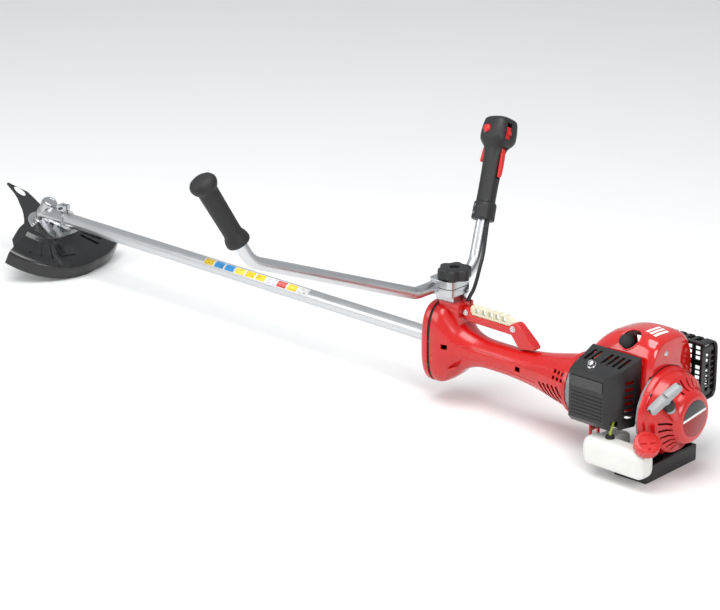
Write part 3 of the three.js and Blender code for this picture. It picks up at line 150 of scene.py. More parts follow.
bm = bmesh.new()
bmesh.ops.create_circle(bm, cap_ends=True, radius=14.0, segments=96)
floor = bpy.data.objects.new("floor", bpy.data.meshes.new("floor"))
bm.to_mesh(floor.data)
bm.free()
floor.data.materials.append(studio_floor)
bpy.context.scene.collection.objects.link(floor)
floor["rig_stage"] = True

world = bpy.data.worlds.new("studio")
world.use_nodes = True
world.node_tree.nodes["Background"].inputs["Color"].default_value = (0.95, 0.97, 1.0, 1.0)
world.node_tree.nodes["Background"].inputs["Strength"].default_value = 0.58
bpy.context.scene.world = world
bpy.context.scene.view_settings.view_transform = "Standard"
for name, place, aim, size, power in (
    ("overhead", (0.3, 0.9, 3.2), (0.4, 0.0, 0.1), 2.2, 84.0),
    ("left_fill", (-2.2, 1.4, 1.6), (0.1, 0.0, 0.2), 1.2, 30.0),
    ("front_fill", (2.2, 2.6, 1.5), (0.9, 0.0, 0.1), 1.6, 26.0),
):
    lamp = bpy.data.objects.new(name, bpy.data.lights.new(name, "AREA"))
    lamp.data.shape = "SQUARE"
    lamp.data.size = size
    lamp.data.energy = power
    lamp.location = place
    lamp.rotation_euler = (Vector(aim) - Vector(place)).to_track_quat("-Z", "Y").to_euler()
    bpy.context.scene.collection.objects.link(lamp)


# ---- drive tube -------------------------------------------------------------------------------
# The long straight tube between housing and cutting head: drawn alloy, 28 mm across, satin
# anodised, pressed into the isolator and clamped in the gear case.
MM = Matrix.Scale(0.001, 4)
LINE = Matrix.Translation((0.510, 0.0, 0.108))  # where the tube enters the housing


def sharp_shade(mesh, angle):
    mesh.shade_smooth()
    mesh.set_sharp_from_angle(angle=radians(angle))


def made(name, bm, place, material, body, *nodes, joined=(), cuts=(), bevel=0.0, segments=2,
         angle=32, level=0, slot=None):
    """Turns a bmesh in mm, in its own frame, into a finished piece that rides on a body."""
    parts = []
    for part in (bm, *joined, *cuts):
        bmesh.ops.transform(part, matrix=place @ MM, verts=part.verts)
        if place.is_negative:
            bmesh.ops.reverse_faces(part, faces=part.faces)
        mesh = bpy.data.meshes.new(name)
        part.to_mesh(mesh)
        part.free()
        parts.append(bpy.data.objects.new(name + "_part", mesh))
        bpy.context.scene.collection.objects.link(parts[-1])
    piece = parts[0]
    piece.name = name
    for tool in parts[1:]:
        step = piece.modifiers.new("joint", "BOOLEAN")
        step.operation = "UNION" if parts.index(tool) <= len(joined) else "DIFFERENCE"
        step.solver = "EXACT"
        step.object = tool
    if parts[1:]:
        graph = bpy.context.evaluated_depsgraph_get()
        whole = bpy.data.meshes.new_from_object(piece.evaluated_get(graph))
        piece.modifiers.clear()
        piece.data = whole
        for tool in parts[1:]:
            bpy.data.objects.remove(tool)
    piece.data.name = name
    piece.data.materials.clear()
    piece.data.materials.append(material)
    if level:
        smoother = piece.modifiers.new("smooth", "SUBSURF")
        smoother.levels = level
        smoother.render_levels = level
    sharp_shade(piece.data, 180 if level else angle + 6)
    if bevel:
        edge = piece.modifiers.new("edge", "BEVEL")
        edge.width = bevel / 1000
        edge.segments = segments
        edge.limit_method = "ANGLE"
        edge.angle_limit = radians(angle)
        edge.harden_normals = True
    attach(piece, body)
    if nodes:
        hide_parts(*nodes)
    return piece


def spun(profile, steps=64, axis="X"):
    """A profile of (place along the axis, radius) spun round it. A closed profile makes a ring."""
    bm = bmesh.new()
    points = [bm.verts.new((along, radius, 0.0)) for along, radius in profile]
    closed = Vector(profile[0]) == Vector(profile[-1])
    if closed:
        bm.verts.remove(points.pop())
    edges = [bm.edges.new(pair) for pair in zip(points, points[1:])]
    if closed:
        edges.append(bm.edges.new((points[-1], points[0])))
    bmesh.ops.spin(bm, geom=points + edges, cent=(0, 0, 0), axis=(1, 0, 0), dvec=(0, 0, 0),
                   angle=2 * pi, steps=steps, use_merge=True, use_duplicate=False)
    bmesh.ops.remove_doubles(bm, verts=bm.verts, dist=1e-4)
    holes = [edge for edge in bm.edges if edge.is_boundary]
    if holes:
        bmesh.ops.holes_fill(bm, edges=holes, sides=0)
    if axis == "Z":
        bmesh.ops.rotate(bm, verts=bm.verts, cent=(0, 0, 0), matrix=Matrix.Rotation(-pi / 2, 3, "Y"))
    bmesh.ops.recalc_face_normals(bm, faces=bm.faces)
    return bm


def anodised(name, tint, rough, streak_mm, axis):
    """Anodised or polished alloy: fine marks along the way it was drawn, dulled a little by handling."""
    metal = new_material(name)
    place = add_node(metal, "ShaderNodeTexCoord")
    stretch = [1000 / streak_mm] * 3
    if axis in "XYZ":
        stretch["XYZ".index(axis)] = 1000 / streak_mm / 60
    drawn = add_node(metal, "ShaderNodeMapping", {"Vector": place.outputs["Object"], "Scale": stretch})
    marks = add_node(metal, "ShaderNodeTexNoise",
                     {"Vector": drawn.outputs["Vector"], "Scale": 1.0, "Detail": 4.0})
    handling = add_node(metal, "ShaderNodeTexNoise",
                        {"Vector": place.outputs["Object"], "Scale": 1000 / 35, "Detail": 3.0})
    dull = add_node(metal, "ShaderNodeMapRange",
                    {"Value": handling.outputs["Fac"], "To Min": rough - 0.06, "To Max": rough + 0.10})
    ground = add_node(metal, "ShaderNodeMapRange",
                      {"Value": marks.outputs["Fac"], "To Min": -0.05, "To Max": 0.05})
    total = add_node(metal, "ShaderNodeMath",
                     {0: dull.outputs["Result"], 1: ground.outputs["Result"]}, operation="ADD")
    shade = add_node(metal, "ShaderNodeValToRGB", {"Fac": marks.outputs["Fac"]})
    base = colour(tint)
    shade.color_ramp.elements[0].color = [c * 0.90 for c in base[:3]] + [1.0]
    shade.color_ramp.elements[1].color = base
    relief = add_node(metal, "ShaderNodeBump",
                      {"Height": marks.outputs["Fac"], "Strength": 0.15, "Distance": 0.0001})
    surface(metal, {"Metallic": 1.0, "Base Color": shade.outputs["Color"],
                    "Roughness": total.outputs["Value"], "Normal": relief.outputs["Normal"]})
    return metal


# Drawn tube: soft long highlights with hair-fine lengthwise marks, about 0.8 mm apart.
drawn_tube = anodised("satin_anodised_drawn_alloy", "#d3d5d7", 0.30, 0.8, "X")
tube = spun([(-40, 14.0), (976, 14.0), (976, 12.4), (-40, 12.4), (-40, 14.0)], 72)
made("main_tube_drawn", tube, LINE, drawn_tube, "machine", "main_tube", bevel=0.3, slot="alloy")

# The band of safety pictograms: a clear film with blank coloured tiles, wrapped over the tube.
film = new_material("printed_vinyl_film")
film_place = add_node(film, "ShaderNodeUVMap", uv_map="tiles")
film_split = add_node(film, "ShaderNodeSeparateXYZ", {"Vector": film_place.outputs["UV"]})
TILES = ("#e9c928", "#2f8fd0", "#2f8fd0", "#f0d94a", "#e9c928", "#e9c928", "#d7d7d7", "#c8443c",
         "#e9c928", "#d7d7d7")
tile_step = add_node(film, "ShaderNodeValToRGB", {"Fac": film_split.outputs["X"]})
tile_step.color_ramp.interpolation = "CONSTANT"
for index, tint in enumerate(TILES):
    spot = index / len(TILES)
    stop = tile_step.color_ramp.elements[0] if index == 0 else tile_step.color_ramp.elements.new(spot)
    stop.position = spot
    stop.color = colour(tint)
tile_step.color_ramp.elements.remove(tile_step.color_ramp.elements[-1])
inside_tile = []
for axis_name, share, low, high in (("X", len(TILES), 0.07, 0.93), ("Y", 1, 0.12, 0.88)):
    turns = add_node(film, "ShaderNodeMath", {0: film_split.outputs[axis_name], 1: share},
                     operation="MULTIPLY")
    part = add_node(film, "ShaderNodeMath", {0: turns.outputs["Value"]}, operation="FRACT")
    above = add_node(film, "ShaderNodeMath", {0: part.outputs["Value"], 1: low}, operation="GREATER_THAN")
    below = add_node(film, "ShaderNodeMath", {0: part.outputs["Value"], 1: high}, operation="LESS_THAN")
    inside_tile.append(add_node(film, "ShaderNodeMath", {0: above.outputs["Value"],
                                1: below.outputs["Value"]}, operation="MULTIPLY"))
tile_mask = add_node(film, "ShaderNodeMath", {0: inside_tile[0].outputs["Value"],
                     1: inside_tile[1].outputs["Value"]}, operation="MULTIPLY")
blotch = add_node(film, "ShaderNodeTexVoronoi", {"Vector": film_place.outputs["UV"], "Scale": 26.0})
ink = add_node(film, "ShaderNodeMath", {0: blotch.outputs["Distance"], 1: 0.30}, operation="LESS_THAN")
inked = add_node(film, "ShaderNodeMix", {0: ink.outputs["Value"], 6: tile_step.outputs["Color"],
                 7: colour("#3b3b3a")}, data_type="RGBA")
film_mix = add_node(film, "ShaderNodeMix", {0: tile_mask.outputs["Value"], 6: colour("#d6d8d9"),
                    7: inked.outputs[2]}, data_type="RGBA")
surface(film, {"Roughness": 0.35, "Base Color": film_mix.outputs[2]})


def wrapped_band(radius, along, low, high, steps):
    """An open strip on a cylinder along X, from one angle to the other, with its own UV map."""
    bm = bmesh.new()
    spot = [bm.verts.new((x, radius * cos(low), radius * sin(low))) for x in along]
    edge = bm.edges.new(spot)
    bmesh.ops.spin(bm, geom=[*spot, edge], cent=(0, 0, 0), axis=(1, 0, 0), dvec=(0, 0, 0),
                   angle=high - low, steps=steps, use_merge=False, use_duplicate=False)
    tiles = bm.loops.layers.uv.new("tiles")
    for face in bm.faces:
        for corner in face.loops:
            x, y, z = corner.vert.co
            turn = (atan2(z, y) - low) / (high - low)
            corner[tiles].uv = ((along[1] - x) / (along[1] - along[0]), min(max(turn, 0), 1))
    bmesh.ops.recalc_face_normals(bm, faces=bm.faces)
    return bm


label = wrapped_band(14.08, (276.0, 548.0), radians(16), radians(88), 18)
label_band = made("pictogram_film", label, LINE, film, "machine", angle=180)
skin = label_band.modifiers.new("film", "SOLIDIFY")
skin.thickness = 0.00012
skin.offset = 1.0


# ---- drive shaft, bushes and bevel gears --------------------------------------------------------
# The turned steel shaft in its nylon bushes and the hardened gear pair, all hidden inside the tube
# and the gear case.
HEAD = LINE @ Matrix.Translation((1.014, 0.0, 0.0)) @ Matrix.Rotation(radians(-28), 4, "Y")


def dress(material, *nodes):
    """Gives carried-over CAD nodes their material."""
    for node in nodes:
        kept = frame["nodes"][node]
        kept.data.materials.clear()
        kept.data.materials.append(material)


# Turned steel: rings left by the tool, 0.6 mm apart, under a film of oil.
turned_steel = anodised("turned_oiled_steel", "#8f9296", 0.32, 0.6, "")
dress(turned_steel, "drive_shaft", "bevel_pinion", "output_gear", "output_shaft", "spindle_bearing",
      "crankshaft", "clutch_drum", "clutch_rotor", "clamp_stud")


def moulded(name, tint, rough, grain_mm, relief_mm, coat=0.0, worn=0.04):
    """Injection-moulded plastic: spark-eroded grain in the relief, a slow drift of tint and gloss."""
    plastic = new_material(name)
    place = add_node(plastic, "ShaderNodeTexCoord")
    grain = add_node(plastic, "ShaderNodeTexNoise",
                     {"Vector": place.outputs["Object"], "Scale": 1000 / grain_mm, "Detail": 3.0})
    flow = add_node(plastic, "ShaderNodeTexNoise",
                    {"Vector": place.outputs["Object"], "Scale": 1000 / 45, "Detail": 4.0})
    shade = add_node(plastic, "ShaderNodeValToRGB", {"Fac": flow.outputs["Fac"]})
    base = colour(tint)
    shade.color_ramp.elements[0].position = 0.3
    shade.color_ramp.elements[1].position = 0.7
    shade.color_ramp.elements[0].color = [c * (1 - worn) for c in base[:3]] + [1.0]
    shade.color_ramp.elements[1].color = [min(1.0, c * (1 + worn)) for c in base[:3]] + [1.0]
    gloss = add_node(plastic, "ShaderNodeMapRange",
                     {"Value": flow.outputs["Fac"], "To Min": rough - 0.05, "To Max": rough + 0.07})
    relief = add_node(plastic, "ShaderNodeBump",
                      {"Height": grain.outputs["Fac"], "Strength": 0.6, "Distance": relief_mm / 1000})
    surface(plastic, {"IOR": 1.53, "Coat Weight": coat, "Coat Roughness": 0.06,
                      "Base Color": shade.outputs["Color"], "Roughness": gloss.outputs["Result"],
                      "Normal": relief.outputs["Normal"]})
    return plastic


# Natural nylon: off-white, waxy, faint 2 mm flow mottling.
natural_nylon = moulded("natural_nylon", "#d9d5c6", 0.45, 2.0, 0.05)
dress(natural_nylon, "shaft_bush_front", "shaft_bush_rear")


# ---- gear case --------------------------------------------------------------------------------
# The die-cast alloy head: a barrel over the blade's spindle and a neck that clamps round the tube,
# polished outside. Its cap is pressed in, and one bolt draws the clamp's two ears together.
def rod(start, end, radius, far_radius=None, steps=32):
    start, end = Vector(start), Vector(end)
    bm = bmesh.new()
    lie = (end - start).to_track_quat("Z", "Y").to_matrix().to_4x4()
    bmesh.ops.create_cone(bm, cap_ends=True, segments=steps, radius1=radius,
                          radius2=radius if far_radius is None else far_radius,
                          depth=(end - start).length,
                          matrix=Matrix.Translation((start + end) / 2) @ lie)
    return bm


def block(low, high):
    bm = bmesh.new()
    size = Vector(high) - Vector(low)
    bmesh.ops.create_cube(bm, size=1.0, matrix=Matrix.Translation((Vector(high) + Vector(low)) / 2)
                          @ Matrix.Diagonal((*size, 1.0)))
    return bm


def turned_to(bm, matrix):
    bmesh.ops.transform(bm, matrix=matrix, verts=bm.verts)
    return bm


TUBE_TURN = Matrix.Rotation(radians(28), 4, "Y")  # from the blade's axis back to the tube's
# Polished casting: bright, with the soft 3 mm unevenness of a sand-papered skin.
polished_casting = anodised("polished_die_cast_alloy", "#c4c6c8", 0.24, 3.0, "")
barrel = spun([(-17, 0), (-17, 20), (-16, 21), (-13.4, 21), (-12, 18.6), (-8, 18.6), (-2, 19.6), (4, 19.6),
               (10, 17.6), (14, 16.6), (27, 16.5), (29, 15.6), (29, 0)], 72, "Z")
neck = turned_to(spun([(2, 0), (0, 13), (-8, 18.4), (-24, 18.6), (-26, 17), (-42, 17), (-42, 19), (-66, 19),
                       (-66, 0)], 72), TUBE_TURN)
ears = turned_to(block((-64, -8, 12), (-44, 8, 29)), TUBE_TURN)
rib = turned_to(block((-42, -2, -21), (-6, 2, -10)), TUBE_TURN)
filler = turned_to(rod((-20, 0, 14), (-20, 0, 23), 6.5, 6.0), TUBE_TURN)
made("gear_case_casting", barrel, HEAD, polished_casting, "machine", "gear_case", bevel=0.9, segments=3,
     joined=[neck, ears, rib, filler],
     cuts=[turned_to(rod((-80, 0, 0), (-37, 0, 0), 14.2, steps=64), TUBE_TURN),
           turned_to(block((-67, -1.2, 0), (-40, 1.2, 32)), TUBE_TURN),
           rod((0, 0, -18), (0, 0, -7), 12.8), rod((0, 0, 20), (0, 0, 34), 11.5),
           turned_to(rod((-20, 0, 21), (-20, 0, 25), 3.2, steps=6), TUBE_TURN)], slot="cast")
made("gear_case_cap_turned",
     spun([(20, 0), (20, 11.2), (29.2, 11.2), (29.2, 13.6), (32, 13.2), (33, 11.8), (33, 9.2), (31.8, 8.2),
           (31.8, 0)], 64, "Z"),
     HEAD, polished_casting, "machine", "gear_case_cap", bevel=0.4, slot="cast")
# Blackened steel: oiled, near black, 0.5 mm grit.
blackened_steel = anodised("blackened_steel", "#4b4d50", 0.42, 0.5, "")
socket_head = rod((-54, -14, 23), (-54, -8.4, 23), 4.4)
made("clamp_screw", socket_head, HEAD @ TUBE_TURN, blackened_steel, "machine", "gear_case_clamp_bolt",
     joined=[rod((-54, -8.6, 23), (-54, 12, 23), 2.5)],
     cuts=[rod((-54, -15, 23), (-54, -11, 23), 2.3, steps=6)], bevel=0.3, slot="dark")


# ---- blade, its collars and its nut -------------------------------------------------------------
# A three-toothed steel blade in black enamel, held between a stepped polished collar above and a
# dished one below by a left-handed nut on the spindle.
def outline_slab(points, low, high):
    """A flat outline in XY, given thickness from low to high."""
    bm = bmesh.new()
    ring = [bm.verts.new((x, y, low)) for x, y in points]
    face = bm.faces.new(ring)
    grown = bmesh.ops.extrude_face_region(bm, geom=[face])
    lifted = [item for item in grown["geom"] if isinstance(item, bmesh.types.BMVert)]
    bmesh.ops.translate(bm, vec=(0, 0, high - low), verts=lifted)
    bmesh.ops.recalc_face_normals(bm, faces=bm.faces)
    return bm


# Blade enamel: baked black, faintly pebbled at 1.5 mm, shinier than the plastic round it.
blade_enamel = moulded("baked_black_enamel", "#0c0c0d", 0.26, 1.5, 0.02, coat=0.5)
BLADE_R = 127.5
BLADE_THIRD = [(0.36, -0.26), (0.55, -0.255), (0.70, -0.245), (0.997, -0.075), (0.99, -0.045),
               (0.975, -0.03), (0.86, -0.022), (0.74, -0.01), (0.62, 0.02), (0.5, 0.07), (0.38, 0.115),
               (0.28, 0.17), (0.18, 0.235), (0.1, 0.3)]
blade_points = []
for third in range(3):
    turn = Matrix.Rotation(2 * pi * third / 3, 2)
    blade_points += [tuple(turn @ (Vector(p) * BLADE_R)) for p in BLADE_THIRD]
made("cutting_blade_pressed", outline_slab(blade_points, -28.9, -27.1), HEAD, blade_enamel, "cutter",
     "cutting_blade", cuts=[rod((0, 0, -40), (0, 0, -20), 12.5, steps=48)], bevel=0.35, slot="paint")
badge_white = moulded("white_screen_ink", "#e8e8e6", 0.4, 1.0, 0.01)
badge = rod((0, 0, -27.2), (0, 0, -27.02), 1.0, steps=40)
bmesh.ops.scale(badge, vec=(15.0, 7.0, 1.0), verts=badge.verts)
bmesh.ops.rotate(badge, cent=(0, 0, 0), matrix=Matrix.Rotation(radians(8), 3, "Z"), verts=badge.verts)
bmesh.ops.translate(badge, vec=(96, -16, 0), verts=badge.verts)
made("blank_blade_badge", badge, HEAD, badge_white, "cutter")
made("upper_collar_turned",
     spun([(-18.5, 5.3), (-18.5, 19), (-19, 20), (-20.6, 20.4), (-21, 24.6), (-22.6, 25), (-23, 30),
           (-24, 31), (-26.8, 31), (-26.8, 12.2), (-28.6, 12.2), (-28.6, 5.3), (-18.5, 5.3)], 80, "Z"),
     HEAD, polished_casting, "cutter", "blade_upper_collar", bevel=0.3, slot="cast")
made("lower_collar_dished",
     spun([(-29.2, 5.3), (-29.2, 28.4), (-30, 29), (-32, 28.8), (-35, 26), (-37, 21.5), (-38.2, 19),
           (-38.2, 5.3), (-29.2, 5.3)], 80, "Z"),
     HEAD, polished_casting, "cutter", "blade_lower_collar", bevel=0.3, slot="cast")
nut_flange = spun([(-38.5, 5.3), (-38.5, 9.6), (-39.6, 10.2), (-40.6, 9.4), (-40.6, 5.3), (-38.5, 5.3)],
                  48, "Z")
made("spindle_nut", nut_flange, HEAD, blackened_steel, "cutter", "blade_nut",
     joined=[rod((0, 0, -47), (0, 0, -40.4), 9.4, steps=6)],
     cuts=[rod((0, 0, -48), (0, 0, -38), 5.3, steps=32)], bevel=0.4, slot="dark")


# ---- blade guard --------------------------------------------------------------------------------
# A deep black nylon moulding behind the blade: a flat panel under the gear case, a stepped ledge and
# a tall skirt that widens to the right. A cast bracket and two screws hold it to the gear case.
def lofted(rings, closed_ends=True):
    """Closed rings of points, each bridged to the next; the ends are filled."""
    bm = bmesh.new()
    before = None
    for ring in rings:
        spots = [bm.verts.new(point) for point in ring]
        edges = [bm.edges.new(pair) for pair in zip(spots, spots[1:] + spots[:1])]
        if before:
            bmesh.ops.bridge_loops(bm, edges=before + edges)
        elif closed_ends:
            bm.faces.new(spots)
        before = edges
    if closed_ends:
        bmesh.ops.edgeloop_fill(bm, edges=before)
    bmesh.ops.recalc_face_normals(bm, faces=bm.faces)
    return bm


# Guard nylon: black, glossy from the mould, 2.5 mm orange peel.
guard_nylon = moulded("glossy_black_nylon", "#101011", 0.24, 2.5, 0.03, coat=0.25)
RIM = -45.1
GUARD_SECTION = [(24, -5), (60, -5), (72, -5), (75, -6), (79, -10.4), (82, -11.6), (110, -12), (122, -12.2),
                 (126, -13), (131, -14.2), (137, -15.4), (141, -17.6), (143, -20.4), (144, -26), (144.4, -36),
                 (145, RIM), (142, RIM), (141.4, -36), (141, -26), (140, -22), (136, -18.6), (126, -16.2),
                 (110, -15), (80, -14.4), (74, -9.6), (60, -8), (24, -8)]
guard_rings = []
GUARD_STEPS = 84
for step in range(GUARD_STEPS + 1):
    angle = radians(112 + (238 - 112) * step / GUARD_STEPS)
    past = max(0.0, degrees(angle) - 195)
    ring = []
    for radius, height in GUARD_SECTION:
        spread = 1 + (20 * past / 43) / 145 * min(max((radius - 80) / 60, 0), 1)
        ring.append((radius * spread * cos(angle), radius * spread * sin(angle), height))
    guard_rings.append(ring)
made("blade_guard_moulding", lofted(guard_rings), HEAD, guard_nylon, "machine", "blade_guard",
     cuts=[rod((0, 0, -60), (0, 0, 10), 27, steps=64),
           turned_to(rod((-90, 0, 0), (0, 0, 0), 20.2, steps=48), TUBE_TURN)],
     bevel=0.8, segments=3, slot="blackp")


# Ribs on the ledge, a blank raised panel and the two screws of the bracket.
for index, angle in enumerate((128, 139, 150, 210, 219)):
    rib = block((82, -1.4, -15), (122, 1.4, -8.5))
    bmesh.ops.rotate(rib, cent=(0, 0, 0), matrix=Matrix.Rotation(radians(angle), 3, "Z"), verts=rib.verts)
    made("guard_rib_%d" % index, rib, HEAD, guard_nylon, "machine", bevel=0.5)
panel = block((88, -17, -14), (114, 17, -9.6))
bmesh.ops.rotate(panel, cent=(0, 0, 0), matrix=Matrix.Rotation(radians(168), 3, "Z"), verts=panel.verts)
made("guard_blank_panel", panel, HEAD, guard_nylon, "machine", bevel=1.4, segments=4)
bracket_outline = [(-14, -30), (-26, -33), (-40, -34), (-58, -33), (-68, -30), (-70, -24), (-70, 24),
                   (-68, 30), (-58, 33), (-40, 34), (-26, 33), (-14, 30)]
made("guard_bracket_casting", outline_slab(bracket_outline, -4.7, 0), HEAD, polished_casting, "machine",
     "guard_bracket", joined=[block((-66, -12, -4.7), (-40, 12, 7))],
     cuts=[rod((0, 0, -40), (0, 0, 40), 21.5, steps=64),
           turned_to(spun([(2, 0), (0, 13.5), (-8, 18.9), (-24, 19), (-42, 17.6), (-42, 19.4), (-70, 19.4),
                           (-70, 0)], 64), TUBE_TURN)],
     bevel=0.9, segments=3, slot="cast")
for index, y in enumerate((-25, 25)):
    screw = rod((-54, y, 0), (-54, y, 4.2), 4.6, 4.3)
    made("bracket_screw_%d" % index, screw, HEAD, turned_steel, "machine",
         cuts=[rod((-54, y, 1.4), (-54, y, 6), 2.3, steps=6)], bevel=0.4)
    washer = spun([(-0.1, 3), (-0.1, 7.4), (1.1, 7.2), (1.1, 3), (-0.1, 3)], 40, "Z")
    bmesh.ops.translate(washer, vec=(-54, y, 0), verts=washer.verts)
    made("bracket_washer_%d" % index, washer, HEAD, turned_steel, "machine")


# ---- handlebar ----------------------------------------------------------------------------------
# One 22 mm alloy tube bent into a wide, lopsided U: a long shallow rise on the left, a short one on
# the right, and an upright arm at each end for the hands.
def bent(corners, bend, steps=12):
    """Points along a bent tube: straight between its corners, with a smooth bend at each."""
    corners = [Vector(corner) for corner in corners]
    points = [corners[0]]
    for before, corner, after in zip(corners, corners[1:], corners[2:]):
        back, on = (before - corner).normalized(), (after - corner).normalized()
        trim = bend / (sin(back.angle(on) / 2) / cos(back.angle(on) / 2))
        start, end = corner + back * trim, corner + on * trim
        for step in range(steps + 1):
            t = step / steps
            points.append((1 - t) ** 2 * start + 2 * t * (1 - t) * corner + t * t * end)
    return points + [corners[-1]]


def tubed(points, radius, sides=40, bore=0.0, twist_start=(1, 0, 0)):
    """A round tube that follows the points; with a bore it is open at both ends."""
    points = [Vector(point) for point in points]
    side = Vector(twist_start)
    outside, inside = [], []
    for index, point in enumerate(points):
        ahead = (points[min(index + 1, len(points) - 1)] - points[max(index - 1, 0)]).normalized()
        side = (side - ahead * side.dot(ahead)).normalized()
        across = ahead.cross(side)
        spokes = [side * cos(2 * pi * k / sides) + across * sin(2 * pi * k / sides) for k in range(sides)]
        outside.append([point + spoke * radius for spoke in spokes])
        inside.append([point + spoke * bore for spoke in spokes])
    if not bore:
        return lofted(outside)
    return lofted(outside + inside[::-1] + outside[:1], closed_ends=False)


BAR = LINE @ Matrix.Translation((-0.045, 0.0, 0.106)) @ Matrix.Rotation(radians(11), 4, "Y")
SPLAY = radians(27.5)
LEFT_CORNER, RIGHT_CORNER = Vector((0, 450, 149)), Vector((0, -75, 0))
LEFT_END = LEFT_CORNER + 168 * Vector((0, sin(SPLAY), cos(SPLAY)))
RIGHT_END = RIGHT_CORNER + 252 * Vector((0, -sin(SPLAY), cos(SPLAY)))
LEFT = BAR @ Matrix.Translation(LEFT_END / 1000) @ Matrix.Rotation(-SPLAY, 4, "X")
RIGHT = BAR @ Matrix.Translation(RIGHT_END / 1000) @ Matrix.Rotation(SPLAY, 4, "X")
bar_tube = anodised("satin_anodised_bar", "#cfd1d3", 0.28, 0.9, "Y")
bar_points = bent([LEFT_END, LEFT_CORNER, (0, 78, 0), RIGHT_CORNER, RIGHT_END], 50)
made("handlebar_tube", tubed(bar_points, 11.0, 48, 9.0), BAR, bar_tube, "handlebar", "handlebar",
     bevel=0.3, slot="alloy")


# ---- handlebar clamp ----------------------------------------------------------------------------
# Polished cast blocks above and below the bar on a flared foot, drawn together by one stud and a
# black six-lobed hand knob with a steel disc in its middle.
def clamp_block(low, high, swell=0.0):
    side, back, front, corner = 29 + swell, -83 - swell, -30 + swell, 9
    return outline_slab([(back, corner - side), (back + 3, 4 - side), (back + corner, -side),
                         (front - corner, -side), (front - 3, 4 - side), (front, corner - side),
                         (front, side - corner), (front - 3, side - 4), (front - corner, side),
                         (back + corner, side), (back + 3, side - 4), (back, side - corner)], low, high)


bar_seat = rod((-45, -60, 106), (-45, 60, 106), 11.1, steps=64)
foot = lofted([[(-60 + x * w, y * w, z) for x, y in ((22, -19), (22, 19), (-22, 19), (-22, -19))]
               for z, w in ((80.3, 0.92), (86, 0.92), (93, 1.05))])
made("handlebar_post_casting", clamp_block(92, 105.4), LINE, polished_casting, "machine", "handlebar_post",
     joined=[foot], cuts=[bar_seat, rod((-67, 0, 60), (-67, 0, 130), 4.3)], bevel=1.6, segments=4,
     slot="cast")
cap_seat = rod((-45, -60, 106), (-45, 60, 106), 11.1, steps=64)
made("clamp_cap_casting", clamp_block(106.6, 120), LINE, polished_casting, "machine",
     "handlebar_clamp_cap", cuts=[cap_seat, rod((-67, 0, 60), (-67, 0, 130), 4.3)], bevel=3.0,
     segments=5, slot="cast")
# Knob nylon: matt black with a coarse 0.8 mm grain that gives fingers a hold.
grained_nylon = moulded("grained_black_nylon", "#161617", 0.5, 0.8, 0.05)
knob_rings = []
for height, shrink in ((120.3, 2.0), (121.3, 0.4), (123, 0.0), (135, 0.0), (138.4, 0.8), (139.8, 3.0),
                       (140.3, 6.0)):
    ring = []
    for step in range(96):
        angle = 2 * pi * step / 96
        lobe = 31 - 2.8 + 2.8 * cos(6 * angle) - shrink
        ring.append((-67 + lobe * cos(angle), lobe * sin(angle), height))
    knob_rings.append(ring)
made("clamp_knob_moulding", lofted(knob_rings), LINE, grained_nylon, "knob", "clamp_knob",
     cuts=[rod((-67, 0, 135), (-67, 0, 144), 8.5, 9.5, 48), rod((-67, 0, 110), (-67, 0, 135), 4.3)],
     angle=40, slot="blackp")


# ---- left grip ----------------------------------------------------------------------------------
# A pushed-on sleeve of soft black rubber with a mushroom head and a flared foot, finely ribbed
# round its middle.
def soft_rubber(name, tint, rough, rib_mm, axis):
    """Soft rubber: dull, with a pattern of moulded ribs one rib spacing apart."""
    rubber = moulded(name, tint, rough, 1.2, 0.05)
    relief = [item for item in rubber.node_tree.nodes if item.type == "BUMP"][0]
    place = [item for item in rubber.node_tree.nodes if item.type == "TEX_COORD"][0]
    along = add_node(rubber, "ShaderNodeMapping", {"Vector": place.outputs["Object"],
                     "Rotation": axis}, vector_type="TEXTURE")
    ribs = add_node(rubber, "ShaderNodeTexWave", {"Vector": along.outputs["Vector"],
                    "Scale": 1000 / rib_mm / 20}, bands_direction="Z")
    raised = add_node(rubber, "ShaderNodeBump", {"Height": ribs.outputs["Fac"], "Strength": 0.8,
                      "Distance": 0.0005, "Normal": relief.outputs["Normal"]})
    surface(rubber, {"Normal": raised.outputs["Normal"]})
    return rubber


grip_rubber = soft_rubber("ribbed_black_rubber", "#131314", 0.62, 4.0, LEFT.to_euler())
made("left_grip_sleeve",
     spun([(9, 0), (8.8, 8), (7.6, 15), (4.6, 20), (0, 23), (-4, 23.6), (-8, 22.9), (-12, 21), (-15, 18.4),
           (-19, 17.2), (-40, 16.8), (-80, 16.2), (-103, 16), (-108, 16.6), (-112, 18.8), (-118, 20.6),
           (-123, 21), (-126, 20), (-127, 18), (-127, 11.5), (0, 11.5), (0, 0)], 72, "Z"),
     LEFT, grip_rubber, "handlebar", "left_grip", angle=50, slot="rubber")


# ---- throttle handle ----------------------------------------------------------------------------
# Two black nylon halves round the right arm: a bulbous head with the switches, a textured grip and a
# screwed collar. Red levers front and rear, a red slide switch and a red set button.
def eased(stations, per_gap):
    """Rows of numbers, smoothed from each to the next, so that a lofted skin has no facets."""
    rows = []
    last = len(stations) - 1
    for index in range(last):
        a, b, c, d = (stations[min(max(index + k, 0), last)] for k in (-1, 0, 1, 2))
        for step in range(per_gap):
            t = step / per_gap
            row = []
            for p, q, r, s in zip(a, b, c, d):
                before, after = (r - p) / 2, (s - q) / 2
                if (q - p) * (r - q) <= 0:
                    before = 0.0
                if (r - q) * (s - r) <= 0:
                    after = 0.0
                row.append((2 * t ** 3 - 3 * t * t + 1) * q + (t ** 3 - 2 * t * t + t) * before
                           + (3 * t * t - 2 * t ** 3) * r + (t ** 3 - t * t) * after)
            rows.append(row)
    return rows + [list(stations[-1])]


